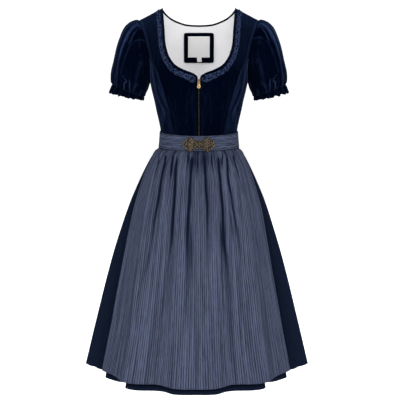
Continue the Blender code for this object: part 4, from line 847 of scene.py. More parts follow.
def skirt_form(bearing, height, out=0.0):
    """The skirt's plain form: bearing 0 is the middle front, 90 the right side, 180 the middle back."""
    bearing, height = np.broadcast_arrays(np.asarray(bearing, float), np.asarray(height, float))
    behind = bearing > 90.0
    local = np.where(behind, 180.0 - bearing, bearing)
    half_width, front, back, roundness = (
        through(SKIRT_RINGS, column, height) for column in ("half_width", "front", "back", "round")
    )
    x, y = plan_point(local, half_width + out, np.where(behind, back, front) + out, roundness)
    return np.stack([x, np.where(behind, y, -y), height], axis=-1)


def swayed(points):
    """The whole skirt hangs a little to one side, more so towards the hem."""
    moved = points.copy()
    moved[..., 0] += through(SKIRT_RINGS, "sway", points[..., 2]) * (1.0 - FRONT_SWAY * points[..., 1])
    return moved


def hang(bearing, hem, heights, out=0.0, low=HEM):
    """Hangs cloth from the form's bearings to the given hem points: the hem's shape fades out upwards."""
    bearing = np.broadcast_to(bearing, (len(heights), np.shape(bearing)[-1]))
    form = skirt_form(bearing, heights[:, None], out)
    foot = skirt_form(bearing[:1], np.full((1, 1), low), np.max(out))[0]
    share = np.clip((heights[-1] - heights) / (heights[-1] - low), 0.0, 1.0) ** 1.25
    form[..., :2] += share[:, None, None] * (hem[:, :2] - foot[:, :2])[None]
    return form


def skirt_heights(low, high, count):
    """Rows closer together under the waist, where the cloth turns most."""
    return low + (high - low) * (1 - (1 - np.linspace(0.0, 1.0, count)) ** 1.6)


def fine_gathers(turns, down):
    """Small even gathers of a skirt width that fade out below the waist."""
    return FINE_GATHER * (0.5 - 0.5 * np.cos(2 * np.pi * turns)) * ease(down, -0.60, -0.47)


def whole(half):
    """A sheet across the middle: a right half that starts at the middle, and its mirror image."""
    half = half.copy()
    half[:, 0, 0] = 0.0
    return np.concatenate([mirrored(half)[:, :-1], half], axis=1)


def cloth_uv(points, width):
    """Cloth coordinates in metres: even across the cut width, and true lengths down each column."""
    columns = points.shape[1]
    drop = np.linalg.norm(np.diff(points, axis=0), axis=-1).mean(axis=1)
    up = np.concatenate([[0.0], np.cumsum(drop)])
    return np.stack(np.meshgrid(np.linspace(-width / 2, width / 2, columns), up), axis=-1)


def lit_beside_apron(bearing, heights):
    """How much light reaches the skirt: none beside the apron's edge, and all of it at the side."""
    edge = through(APRON_SIDE[::-1], "bearing", heights)[:, None]
    return np.clip((bearing - edge - 1.5) / (88.5 - edge), 0.0, 1.0)


def skirt_front():
    """Half of the skirt's front width: the hem's overlapping flap fades out up to the gathered waist. With the
    points goes how much light reaches them, which under the apron is only at the hem."""
    heights = skirt_heights(HEM, SKIRT_TOP, SKIRT_ROWS)
    share = np.linspace(0.0, 1.0, HALF_FRONT_COLUMNS)
    points = hang(SKIRT_SEAM * share, along_curve(SKIRT_HEM_FRONT, share), heights)
    down = heights[:, None]
    fine = fine_gathers(26 * share + 0.6 * np.sin(9 * share), down)
    gather = WAIST_GATHER * (1 - np.cos(2 * np.pi * FRONT_GATHERS * share))[None] / 2 * ease(down, -0.62, -0.50)
    depth = gather + fine + creased(SKIRT_FRONT_CREASES, "depth", down, share[None], FRONT_REACH)
    lit = np.maximum(lit_beside_apron(SKIRT_SEAM * share, heights), 0.90 * ease(APRON_HEM - down, 0.004, 0.016))
    points = points - level_out(points) * depth[..., None]
    middle = ease(share, 0.20, 0.30) * (1 - ease(share, 0.90, 1.0))
    points[..., 2] -= HEM_DROP * middle[None] * ease(-down, 1.0, -HEM)
    return points, lit


def skirt_back():
    """Back width on one side: the side flap, then uneven waves round to the middle of the back. With the points
    goes how much light reaches them: less in the hollows of the waves."""
    heights = skirt_heights(HEM, SKIRT_TOP, SKIRT_ROWS)
    share = np.linspace(0.0, 1.0, FLAP_COLUMNS)[:-1]
    quarter = np.linspace(0.0, 4 * BACK_FOLDS + 1, WAVE_COLUMNS)
    bearing = np.concatenate([SKIRT_SEAM + (90.0 - SKIRT_SEAM) * share, 90.0 + 90.0 * quarter / quarter[-1]])
    phase = (quarter - 0.5) * np.pi / 2
    depth = BACK_FOLD_DEPTH * (0.78 + 0.22 * np.cos(phase / 2.3 + 1.0))
    low = skirt_form(bearing[len(share):], HEM)
    inwards = unit(np.array([0.0, 0.02]) - low[:, :2])
    wave = 0.86 * np.cos(phase) * ease(quarter, -1.0, 1.5)
    hem = low[:, :2] + inwards * (depth * (1 - wave) / 2)[:, None]
    hem[-1, 0] = 0.0
    flap = along_curve(SKIRT_HEM_SIDE, share)
    blend = ease(quarter, 0.0, 2.0)[:, None]
    hem = hem * blend + low[:, :2] * (1 - blend)
    points = hang(bearing, np.concatenate([flap, hem]), heights)

    across = np.linspace(0.0, 1.0, points.shape[1])[None]
    down = heights[:, None]
    waves = np.concatenate([np.ones(len(share)), np.cos(phase)])[None]
    gather = WAIST_GATHER * (1 - waves) / 2 * ease(down, -0.62, -0.50)
    slack = SLACK * ease(-down, 0.47, 0.53) + SLACK_LOW * ease(-down, 0.75, 1.0)
    slack = slack * (ease(bearing, SKIRT_SEAM, 78.0) * (1 - ease(bearing, 96.0, 112.0)))[None]
    placed = creased(SKIRT_BACK_CREASES, "depth", down, across, row_lengths(points)[:, -1:])
    depth = gather + fine_gathers(46 * across + 0.5 * np.sin(11 * across), down) + slack + placed
    points = points - level_out(points) * depth[..., None]
    points[:, -1, 0] = -SEAM_LAP
    hollow_shade = 0.60 * (1 - waves) * ease(bearing, 90.0, 100.0)[None] * ease(-down, 0.46, 0.60)
    lit = lit_beside_apron(bearing, heights) * (1 - hollow_shade) - 0.25 * ease(bearing, 90.0, 110.0)[None]
    return points, np.clip(lit, 0.0, 1.0)


def apron():
    """The apron on its own form over the skirt, with gathers under the band and folds placed one by one, each
    narrow at the waist and wide at the hem. With the points goes its painted shade: 1 on a ridge, 0 deep in a
    fold, and less in the gathers and under the band."""
    heights = skirt_heights(APRON_HEM, APRON_TOP, APRON_ROWS)
    share = np.linspace(-1.0, 1.0, APRON_COLUMNS)
    edge = through(APRON_SIDE[::-1], "bearing", heights)
    hem = along_curve(APRON_HEM_FRONT, np.abs(share))
    top = APRON_TOP_FRONT + (APRON_TOP_SIDE - APRON_TOP_FRONT) * share**2
    down = heights[:, None]
    standoff = APRON_STANDOFF + (top - APRON_STANDOFF)[None, :] * ease(down, -0.500, BAND_FOOT)
    form = hang(edge[:, None] * np.abs(share)[None, :], hem, heights, standoff, APRON_HEM)
    form[..., 0] *= np.sign(share)
    reach = row_lengths(form)[:, -1:] / 2

    near_band = ease(down, -0.500, -0.447)
    calm = 1.0 - 0.92 * ease(np.abs(share), 0.55, 0.96) ** 1.5
    full = (1 - near_band) * (0.40 + 0.60 * ease(down, -1.10, -0.75)) * calm
    broad = 1.0 + 1.5 * (1 - ease(down, -0.84, -0.52))
    folds = creased(APRON_CREASES, "depth", down, share[None], reach, wider=1.6 * broad)
    folds = FOLD_MOST * np.tanh(folds / FOLD_MOST) * full
    places, strengths = APRON_GATHERS.T[..., None, None]
    gathers = (strengths * bell((share[None] - places) * reach, GATHER_WIDTH)).sum(axis=0)
    rise = LEAST_RISE + FOLD_RISE * full + BAND_RISE * near_band
    drop = folds + GATHER_DEPTH * gathers * ease(down, -0.56, -0.47) * (0.35 + 0.65 * calm)

    # Painted shade: a narrow dark core and a wider soft shade in each fold, darker in the gathers and under the band.
    shade_core, shade = (creased(APRON_CREASES, "pale", down, share[None], reach, wider=broad * w) for w in (0.78, 2.7))
    gathered = 0.66 * gathers * ease(down, -0.525, -0.462) + 0.14 * near_band
    soft = 0.56 + 0.44 * ease(down, -0.86, -0.58)
    fold_light = np.clip(1 + (shade_core + 0.44 * shade) * soft - gathered, 0.0, 1.0)
    return form + level_out(form) * (rise - drop)[..., None], fold_light


def band_half():
    """Half of the apron's band: rounded tucks run along it, wavy and uneven, with thin broken lines between them.
    Its top edge dips a little at the middle front. With the points goes how far each stands out of a line, which
    the band's finish turns into painted shade in the lines."""
    up = np.linspace(0.0, 1.0, BAND_ROWS)[:, None]
    heights = BAND_FOOT + up * (BAND_TOP - BAND_FOOT)
    bearing = np.linspace(0.0, 180.0, BAND_COLUMNS)[None, :]
    behind = bearing > 90.0
    local = np.where(behind, 180.0 - bearing, bearing)
    b = np.radians(bearing)
    wander = 0.13 * np.sin(5 * b + 4 * up) + 0.10 * np.sin(13 * b + 1.0 + 6 * up) + 0.06 * np.sin(31 * b + 9 * up)
    line = np.abs(np.sin(np.pi * (BAND_LINES * up + wander)))
    strength = 0.66 + 0.26 * np.sin(11 * b + 13 * up) + 0.22 * np.sin(23 * b - 17 * up + 1.5)
    tuck = TUCK_DEPTH * (1 - np.clip(strength, 0.0, 1.0) * bell(line, 0.42))
    out = BAND_WALL + tuck - BAND_EDGE * (bell(up, 0.03) + bell(1 - up, 0.03))
    width, front, back = (through(BAND_RINGS, c, heights) + out for c in ("half_width", "front", "back"))
    x, y = plan_point(local, width, np.where(behind, back, front), BODICE_ROUND)
    z = heights - BAND_DIP * up * np.clip(np.cos(b), 0.0, 1.0) ** 2
    return np.stack([np.maximum(x, 0.0), np.where(behind, y, -y), z], axis=-1), tuck / TUCK_DEPTH


def crept(place, distance, steps=6):
    """A line of (bearing, level) moved over the bodice form, square to itself, away from the neckline."""
    small = 1e-4
    for _ in range(steps):
        here = bodice_form(place[:, 0], place[:, 1])
        by_bearing = (bodice_form(place[:, 0] + small, place[:, 1]) - here) / small
        by_level = (here - bodice_form(place[:, 0], place[:, 1] - small)) / small
        away = unit(np.cross(np.gradient(here, axis=0), np.cross(by_bearing, by_level))) * distance / steps
        basis = np.stack([by_bearing, by_level], axis=-1)
        place = place + (np.linalg.pinv(basis) @ away[..., None])[..., 0]
        place[:, 1] = np.minimum(place[:, 1], 1.0)
    return place


def neck_trim():
    """Gathered edging: puffs in a lattice, cos along times cos across, under a crown that falls to both edges. With
    the points goes how far each stands out of the pinches, which the edging's finish paints as highlight and shade."""
    share = np.linspace(0.0, 0.992, TRIM_COLUMNS)
    line = along_curve([TRIM_START, *FRONT_NECK[2:]], share)
    wider = 1.0 + 0.18 * (1 - ease(share, 0.0, 0.3))
    scallop = 1.0 + 0.05 * np.cos(2 * np.pi * TRIM_PUFFS * share)
    step = (TRIM_WIDTH / (TRIM_ROWS - 1) * wider * scallop)[:, None]
    lines = [crept(form_place(line[:, 0], line[:, 1]), TRIM_INSET)]
    for _ in range(TRIM_ROWS - 1):
        lines.append(crept(lines[-1], step, 1))
    lines = np.stack(lines)
    base = bodice_form(lines[..., 0], lines[..., 1])[::-1]
    v = np.linspace(0.0, 1.0, TRIM_ROWS)[::-1, None]
    s = share[None] * TRIM_PUFFS + 0.05 * np.sin(37 * share)[None]
    lattice = 0.5 + 0.5 * np.cos(2 * np.pi * s) * np.cos(2 * np.pi * (v * 1.5 + 0.02))
    lattice = ease(lattice, 0.08, 0.75)
    crown = 0.35 + 0.65 * np.clip(1 - np.abs(2 * v - 1) ** 3.2, 0.0, 1.0)
    height = TRIM_BASE * crown + TRIM_RISE * crown * lattice
    return base + outward(base) * height[..., None], lattice * crown


def tube(path, radius, facing, closed=False, sides=8):
    """A round wire: a circle carried along a path, its first point towards the facing direction. An open one is
    capped. Its faces come as groups of like faces."""
    if closed:
        along = unit(np.roll(path, -1, axis=0) - np.roll(path, 1, axis=0))
    else:
        along = unit(np.gradient(path, axis=0))
    side = unit(np.cross(along, facing))
    out = np.cross(side, along)
    turn = np.linspace(0.0, 2 * np.pi, sides, endpoint=False)
    ring = np.cos(turn)[None, :, None] * out[:, None] + np.sin(turn)[None, :, None] * side[:, None]
    points = (path[:, None] + ring * radius).reshape(-1, 3)
    index = np.arange(len(points)).reshape(-1, sides)
    here, following = (index, np.roll(index, -1, axis=0)) if closed else (index[:-1], index[1:])
    quads = np.stack([here, np.roll(here, -1, axis=1), np.roll(following, -1, axis=1), following], axis=-1)
    caps = [] if closed else [np.stack([index[0, ::-1], index[-1]])]
    return points, [quads.reshape(-1, 4), *caps]


def ball(middle, radius, squash, sides, rings=4):
    """A bead: a half circle turned about the outward axis, with one point at each pole."""
    lift = np.linspace(-np.pi / 2, np.pi / 2, rings + 2)[1:-1]
    turn = np.linspace(0.0, 2 * np.pi, sides, endpoint=False)
    ring = np.stack([
        np.cos(lift)[:, None] * np.cos(turn), np.cos(lift)[:, None] * np.sin(turn),
        np.repeat(np.sin(lift)[:, None] * squash, sides, axis=1),
    ], axis=-1).reshape(-1, 3)
    points = np.concatenate([[[0, 0, -squash]], ring, [[0, 0, squash]]]) * radius + np.asarray(middle)
    here, following = np.arange(sides), (np.arange(sides) + 1) % sides
    top = 1 + (rings - 1) * sides
    foot = np.stack([np.zeros(sides, int), following + 1, here + 1], axis=-1)
    crown = np.stack([np.full(sides, rings * sides + 1), here + top, following + top], axis=-1)
    return points, [grid_faces(rings, sides, True) + 1, foot, crown]


def joined(shapes):
    """Several (points, groups of faces) as one."""
    points, faces, start = [], [], 0
    for shape_points, groups in shapes:
        points.append(shape_points)
        faces += [group + start for group in groups]
        start += len(shape_points)
    return np.concatenate(points), faces


def turned_over(faces):
    """The same faces for a mirrored shape, pointing out again."""
    return [group[:, ::-1] for group in faces]


class Value:
    """A number that a shader node puts out. Arithmetic on it adds Math nodes."""

    def __init__(self, sheet, socket):
        self.sheet, self.socket = sheet, socket

    def math(self, operation, *others):
        return self.sheet.math(operation, self, *others)

    def __add__(self, other):
        return self.math("ADD", other)

    def __sub__(self, other):
        return self.math("SUBTRACT", other)

    def __rsub__(self, other):
        return self.sheet.math("SUBTRACT", other, self)

    def __mul__(self, other):
        return self.math("MULTIPLY", other)

    def __abs__(self):
        return self.math("ABSOLUTE")

    __radd__, __rmul__ = __add__, __mul__


class Sheet:
    """The node tree of one material, and the few ways that this file adds to it."""

    def __init__(self, name, constants):
        self.material = bpy.data.materials.new(f"{name}_finish")
        self.material.use_nodes = True
        self.tree = self.material.node_tree
        self.shader = self.tree.nodes["Principled BSDF"]
        for socket, value in constants.items():
            self.shader.inputs[socket].default_value = value

    def node(self, kind, settings=None, **inputs):
        """Adds a node: its settings first, then values or links by socket name or number (as _0, _1)."""
        made = self.tree.nodes.new(kind)
        for key, value in (settings or {}).items():
            setattr(made, key, value)
        for key, value in inputs.items():
            socket = made.inputs[int(key[1:])] if key[0] == "_" else made.inputs[key]
            self.feed(socket, value)
        return made

    def feed(self, socket, value):
        if isinstance(value, Value):
            self.tree.links.new(value.socket, socket)
        elif isinstance(value, bpy.types.NodeSocket):
            self.tree.links.new(value, socket)
        else:
            socket.default_value = value

    def math(self, operation, *values):
        inputs = {f"_{k}": value for k, value in enumerate(values)}
        return Value(self, self.node("ShaderNodeMath", {"operation": operation}, **inputs).outputs[0])

    def grain(self, scale, detail=2.0, rough=0.5, uv=None):
        """Noise with this many bumps to the metre each way, on Object or on cloth coordinates."""
        at = self.node("ShaderNodeTexCoord").outputs["Object"] if uv is None else uv
        stretched = self.node("ShaderNodeVectorMath", {"operation": "MULTIPLY"}, _0=at, _1=scale).outputs[0]
        made = self.node("ShaderNodeTexNoise", None, Vector=stretched, Scale=1.0, Detail=detail, Roughness=rough)
        return Value(self, made.outputs["Fac"])

    def smooth(self, value, low, high, first=0.0, last=1.0):
        """first below low, last above high, and smooth between."""
        settings = {"interpolation_type": "SMOOTHSTEP"}
        made = self.node("ShaderNodeMapRange", settings, _0=value, _1=low, _2=high, _3=first, _4=last)
        return Value(self, made.outputs[0])

    def mix(self, factor, first, last):
        """One colour to another."""
        made = self.node("ShaderNodeMix", {"data_type": "RGBA"}, _0=factor)
        self.feed(made.inputs[6], first)
        self.feed(made.inputs[7], last)
        return made.outputs[2]

    def attribute(self, name):
        return Value(self, self.node("ShaderNodeAttribute", {"attribute_name": name}).outputs["Fac"])

    def cloth_at(self):
        """The two cloth coordinates in metres, as numbers, and together as a vector."""
        uv = self.node("ShaderNodeUVMap", {"uv_map": "cloth"}).outputs[0]
        parts = self.node("ShaderNodeSeparateXYZ", None, _0=uv).outputs
        return Value(self, parts[0]), Value(self, parts[1]), uv

    def bump(self, height, distance, strength=1.0):
        made = self.node("ShaderNodeBump", None, Height=height, Distance=distance, Strength=strength)
        self.feed(self.shader.inputs["Normal"], made.outputs[0])

    def colour(self, value):
        self.feed(self.shader.inputs["Base Color"], value)


def rgba(colour, times=1.0):
    return (*(c * times for c in colour), 1.0)


def matt(sheen, tint, sheen_rough=0.35, rough=1.0):
    """Constants of a cloth: no gloss, and a sheen of its own."""
    return {
        "Specular IOR Level": 0.0, "Roughness": rough, "Sheen Weight": sheen,
        "Sheen Tint": rgba(tint), "Sheen Roughness": sheen_rough,
    }


def velvet_finish(name, colours):
    """Velvet: painted highlights and shade where its height attribute says, paler pile in fine upright streaks,
    and a blue sheen.
    """
    s = Sheet(name, matt(0.5, colours.velvet_sheen, 0.28))
    streak = s.grain((230.0, 230.0, 6.0), 3.0, 0.6)
    patch = s.grain((14.0, 14.0, 5.0))
    pile = s.grain((1500.0, 1500.0, 900.0), 1.0)
    # Painted light: the height attribute carries painted highlights and shade; the streaks and patches are the pile's
    # own uneven tone.
    light_and_pile = s.attribute("height") * (0.45 + 1.1 * streak) + (streak - 0.5) * 0.16 + (patch - 0.5) * 0.14
    s.colour(s.mix(light_and_pile.math("MAXIMUM", 0.0), rgba(colours.velvet), rgba(colours.velvet_pale)))
    s.bump(pile * 0.6 + streak * 0.8, 0.0006, 0.4)
    return s.material


def edging_finish(name, colours):
    """Gathered edging: a painted highlight on its puffs and painted shade in the pinches between them, with uneven
    specks, over a fine rib.
    """
    s = Sheet(name, matt(0.2, colours.velvet_sheen, 0.28))
    speck, rib = s.grain((250.0,) * 3, 1.0), s.grain((1300.0,) * 3, 1.0)
    # Painted highlight and shade from the height attribute, mixed with the specks' own uneven tone.
    puff_light_and_speck = s.smooth(s.attribute("height") * 0.34 + (speck - 0.5) * 5.6 + 0.28, 0.0, 0.9)
    s.colour(s.mix(puff_light_and_speck, rgba(colours.velvet), rgba(colours.edging, 1.35)))
    s.bump(rib * 0.6 + speck, 0.0005, 0.5)
    return s.material


def weave(s, uv, u, v, thread):
    """A plain weave's height: sine threads both ways, multiplied so that they pass over and under each other."""
    turn = 2 * np.pi / thread
    warp, weft = (u * turn).math("SINE"), (v * turn).math("SINE")
    return warp * weft * 0.5 + s.grain((900.0, 900.0, 1.0), uv=uv) * 0.5


def stripe_finish(name, colours, pitch=0.0092, height=1.0):
    """The apron's cloth: narrow pale and dark stripes along the warp, uneven, with fine slubs, and painted shade in
    its folds.
    """
    s = Sheet(name, matt(0.0, colours.apron, 0.4))
    u, v, uv = s.cloth_at()
    drift = s.grain((62.0, 2.2, 1.0), 3.0, 0.72, uv)
    streak, slub = s.grain((300.0, 22.0, 1.0), 2.0, 0.6, uv), s.grain((820.0, 60.0, 1.0), 2.0, 0.6, uv)
    fine = ((u + drift * 0.0075) * (2 * np.pi / pitch)).math("SINE") * 0.5 + 0.5
    tone = fine * 0.22 + s.smooth(drift, 0.30, 0.70) * 0.22 + streak * 0.36 + slub * 0.30
    stripes = s.mix(s.smooth(tone, 0.35, 0.78), rgba(colours.apron, 0.40), rgba(colours.apron, 1.78))
    # Painted shade: where the height attribute is low, in folds, gathers and the band's tuck lines, the colour turns to
    # the shade colour, as strongly as height says.
    hollow_shade = s.smooth(s.attribute("height"), 0.0, 0.90, 1.0, 0.0) * height
    s.colour(s.mix(hollow_shade, stripes, rgba(APRON_PAINTED_SHADE)))
    s.bump(weave(s, uv, u, v, 0.0011) * 0.5 + slub * 0.5, 0.0003, 0.5)
    return s.material


def skirt_finish(name, colours):
    """The skirt's cloth: dark navy, a fine weave with lengthwise threads a little paler, lit where its height
    attribute says."""
    s = Sheet(name, matt(0.13, colours.skirt_sheen, 0.25))
    u, v, uv = s.cloth_at()
    thread, speck = s.grain((520.0, 26.0, 1.0), 2.0, 0.6, uv), s.grain((800.0, 800.0, 1.0), 1.0, uv=uv)
    lit = s.attribute("height")
    dark = s.mix(lit, rgba(colours.skirt, 0.25), rgba(colours.skirt_lit, 0.74))
    pale = s.mix(lit, rgba(colours.skirt, 0.75), rgba(colours.skirt_lit, 1.26))
    s.colour(s.mix(s.smooth(thread * 0.55 + speck * 0.45, 0.34, 0.68), dark, pale))
    s.bump(weave(s, uv, u, v, 0.0012), 0.0003, 0.5)
    return s.material


def cotton_finish(name, colour):
    """White cotton: a plain weave, slightly uneven in tone."""
    s = Sheet(name, matt(0.0, colour, 0.5))
    threads = s.grain((1600.0, 1600.0, 300.0)) + s.grain((300.0, 300.0, 1600.0))
    s.colour(s.mix(s.grain((26.0,) * 3, 3.0), rgba(colour, 0.94), rgba(colour, 1.03)))
    s.bump(threads, 0.0002, 0.35)
    return s.material


def label_finish(name, colour):
    """The label's satin weave, with one thin frame line set in from its edge."""
    s = Sheet(name, matt(0.0, colour, 0.5, 0.7))
    u, v, uv = s.cloth_at()
    edge = abs(u).math("MAXIMUM", abs(v))
    line = s.smooth(edge, 0.0288, 0.0292) * (1.0 - s.smooth(edge, 0.0298, 0.0302))
    threads = s.grain((2600.0, 500.0, 1.0), uv=uv)
    plain = s.mix(threads, rgba(colour, 0.93), rgba(colour, 1.04))
    s.colour(s.mix(line, plain, rgba(colour, 0.88)))
    s.bump(threads * 0.5 + line * 0.8, 0.0002, 0.5)
    return s.material


def metal_finish(name, colour, dark, worn=0.5, height=False):
    """Aged brass: rubbed bright in clouds, with fine scratches. With a height attribute it is painted near black in
    its sunk holes, as painted shade for the openings, and rubbed bright where it stands out.
    """
    s = Sheet(name, {"Metallic": 1.0, "Roughness": 0.4})
    cloud = s.grain((330.0,) * 3, 3.0, 0.6)
    if height:
        # Painted shade in the sunk holes where height is low; the cloud and the raised parts are rubbed wear.
        rubbed = s.attribute("height") * (0.10 + s.smooth(cloud, 0.36, 0.66) * 0.9)
    else:
        rubbed = s.smooth(cloud, 0.35, 0.70) * worn + (1.0 - worn)
    s.colour(s.mix(rubbed, rgba(colour, dark), rgba(colour)))
    s.feed(s.shader.inputs["Roughness"], 0.62 - rubbed * 0.26)
    s.bump(s.grain((900.0, 900.0, 3200.0), 1.0), 0.00008, 0.4)
    return s.material


class DIRNDL_PG_sizes(bpy.types.PropertyGroup):
    """Sizes that a user would change."""
    wire: FloatProperty(name="Clasp wire", description="Radius of the clasp's wires", default=0.00085, unit="LENGTH")
    tooth: FloatProperty(
        name="Zip tooth pitch", description="Distance between two teeth on one side", default=0.0028, unit="LENGTH")
    floor: FloatProperty(name="Floor", description="Height of the floor", default=-1.45, unit="LENGTH")
    camera: FloatProperty(
        name="Camera distance", description="How far in front the camera stands", default=3.6, unit="LENGTH")


def colour_property(name, description, default):
    """A colour that the panel shows as one."""
    return FloatVectorProperty(
        name=name, description=description, default=default, size=3, min=0, max=1, subtype="COLOR")


class DIRNDL_PG_colours(bpy.types.PropertyGroup):
    """Colours that a user would change."""
    velvet: colour_property("Velvet", "Pile of the bodice and sleeves", (0.0002, 0.0010, 0.0042))
    velvet_sheen: colour_property("Velvet sheen", "Light that the pile catches at its edges", (0.070, 0.100, 0.210))
    # The pale end of the velvet: painted highlight where the height attribute is high, and the paler pile streaks.
    velvet_pale: colour_property("Pale velvet", "Pile that lies the other way", (0.0150, 0.0270, 0.0720))
    edging: colour_property("Edging", "Gathered neckline edging", (0.0150, 0.0232, 0.0520))
    skirt: colour_property("Skirt", "Navy skirt cloth", (0.0040, 0.0062, 0.0160))
    skirt_lit: colour_property("Lit skirt", "Skirt cloth in full light", (0.0058, 0.0098, 0.0225))
    skirt_sheen: colour_property("Skirt sheen", "Light on the skirt's fibres", (0.060, 0.080, 0.150))
    apron: colour_property("Apron", "Middle tone of the striped apron", (0.0385, 0.0465, 0.0765))
    lining: colour_property("Lining", "White cotton inside", (0.80, 0.795, 0.81))
    label: colour_property("Label", "Woven label", (0.74, 0.73, 0.725))
    brass: colour_property("Zip", "Brass of the zip", (0.42, 0.30, 0.14))
    clasp: colour_property("Clasp", "Aged brass of the clasp", (0.118, 0.092, 0.067))


class Piecework:
    """What the operators share: the settings, and finishes made once."""
    bl_options = {"REGISTER", "UNDO"}

    @property
    def sizes(self):
        return bpy.context.scene.dirndl_sizes

    @property
    def colours(self):
        return bpy.context.scene.dirndl_colours

    def finish(self, name):
        c = self.colours
        makers = {
            "velvet": lambda: velvet_finish(name, c),
            "edging": lambda: edging_finish(name, c),
            "skirt": lambda: skirt_finish(name, c),
            "apron": lambda: stripe_finish(name, c),
            "band": lambda: stripe_finish(name, c, 0.0098, 0.75),
            "lining": lambda: cotton_finish(name, c.lining),
            "label": lambda: label_finish(name, c.label),
            "tag": lambda: cotton_finish(name, c.label),
            "teeth": lambda: metal_finish(name, tuple(v * 0.17 for v in c.brass), 0.3),
            "slider": lambda: metal_finish(name, tuple(v * 0.55 for v in c.brass), 0.3),
            "tab": lambda: metal_finish(name, tuple(v * 1.3 for v in c.brass), 0.6),
            "clasp": lambda: metal_finish(name, c.clasp, 0.05, height=True),
        }
        return bpy.data.materials.get(f"{name}_finish") or makers[name]()

    def sew(self, node, points, wall, finishes, slot, cut, closed=False, uv=None, height=None):
        made = [self.finish(name) for name in finishes]
        piece = cloth(f"{node}_cloth", points, wall, made, closed=closed, uv=uv, height=height)
        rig.replaces(piece, node)
        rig.slot(piece, slot)
        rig.sheet(piece, **cut)


class DIRNDL_OT_bodice(Piecework, bpy.types.Operator):
    """Eight velvet panels of the bodice, white inside except at the lined back"""
    bl_idname = "dirndl.bodice"
    bl_label = "Bodice"

    def execute(self, context):
        panels = {
            "bodice_front": (front_place(), BODICE_CREASES, False, (0.19, 0.36), 0.053),
            "bodice_side_front": (side_place(FRONT_SEAM), BODICE_CREASES, False, (0.12, 0.26), 0.025),
            "bodice_side_back": (side_place(BACK_SEAM), BACK_CREASES, True, (0.12, 0.26), 0.025),
            "bodice_back": (back_place(BACK_NECK), BACK_CREASES, True, (0.19, 0.40), 0.062),
        }
        for node, (place, table, back, flat, area) in panels.items():
            finishes = ["velvet"] if node == "bodice_back" else ["velvet", "lining"]
            cut = dict(flat=flat, held="stretched", area=area)
            for side, grid, pale in both_sides(*tailored(place, table, back)):
                self.sew(f"{node}_{side}", grid, VELVET, finishes, "velvet", cut, height=pale)
        return {"FINISHED"}


class DIRNDL_OT_lining(Piecework, bpy.types.Operator):
    """White lining of the centre back, which shows through the neck"""
    bl_idname = "dirndl.lining"
    bl_label = "Back lining"

    def execute(self, context):
        place = back_place(LINING_NECK)[:, :-3]
        points = bodice_form(place[..., 0], place[..., 1], back=True)[:, ::-1]
        points = points - outward(points) * (VELVET + LINING_GAP)
        points[..., 0] = np.maximum(points[..., 0], 0.0)
        cut = dict(flat=(0.19, 0.40), held="stretched", area=0.060)
        for side, grid in both_sides(points):
            self.sew(f"lining_back_{side}", grid, LINING, ["lining"], "lining", cut)
        return {"FINISHED"}


class DIRNDL_OT_sleeves(Piecework, bpy.types.Operator):
    """Puffed sleeves and their cuff frills"""
    bl_idname = "dirndl.sleeves"
    bl_label = "Sleeves"

    def execute(self, context):
        puff_cut = dict(flat=(0.46, 0.24), held="gathered", area=0.085)
        frill_cut = dict(flat=(0.40, 0.021), held="gathered")
        for k, shift in enumerate((0.0, 0.6)):
            puff, turn, pale = sleeve(shift)
            frill, frill_pale = cuff_frill(puff, turn)
            side, grid, tone = both_sides(puff, pale)[k]
            self.sew(f"sleeve_{side}", grid, VELVET, ["velvet"], "velvet", puff_cut, closed=True, height=tone)
            side, grid, tone = both_sides(frill, frill_pale)[k]
            self.sew(f"cuff_frill_{side}", grid, FRILL, ["velvet"], "velvet", frill_cut, closed=True, height=tone)
        return {"FINISHED"}


class DIRNDL_OT_edging(Piecework, bpy.types.Operator):
    """Gathered edging along the front neckline, and the rolled edge beside it"""
    bl_idname = "dirndl.edging"
    bl_label = "Neckline edging"

    def execute(self, context):
        line = along_curve(FRONT_NECK, np.linspace(0.0, 1.0, ROLL_POINTS))
        place = form_place(line[:, 0], line[:, 1])
        edge = bodice_form(place[:, 0], place[:, 1])
        facing = unit(edge * np.array([0.6, 1.0, 0.0]) + np.array([0.0, 0.0, 0.05]))
        roll, faces = tube(edge + np.array([0.0, ROLL_BACK, 0.0]), ROLL_RADIUS, facing)
        cut = dict(flat=(0.62, 0.030), held="gathered")
        for side, grid, tone in both_sides(*neck_trim()):
            self.sew(f"neck_trim_{side}", grid, EDGING, ["edging"], "trim", cut, height=tone)
            if side == "left":
                roll, faces = roll * np.array([-1, 1, 1]), turned_over(faces)
            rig.slot(add_piece(f"neck_roll_{side}", roll, faces, [self.finish("velvet")]), "trim")
        return {"FINISHED"}


class DIRNDL_OT_skirt(Piecework, bpy.types.Operator):
    """Front and back widths of the skirt"""
    bl_idname = "dirndl.skirt"
    bl_label = "Skirt"

    def execute(self, context):
        ahead, lit = skirt_front()
        widths = [("front", whole(ahead), np.concatenate([lit[:, :0:-1], lit], axis=1), 0.80, 0.95)]
        widths += [(f"back_{side}", grid, lit, 0.72, 0.90) for side, grid, lit in both_sides(*skirt_back())]
        for name, points, lit, wide, drawn_wide in widths:
            points = swayed(points)
            uv, cut = cloth_uv(points, drawn_wide), dict(flat=(wide, 0.72), held="gathered")
            self.sew(f"skirt_{name}", points, COTTON, ["skirt"], "skirt", cut, uv=uv, height=lit)
        return {"FINISHED"}


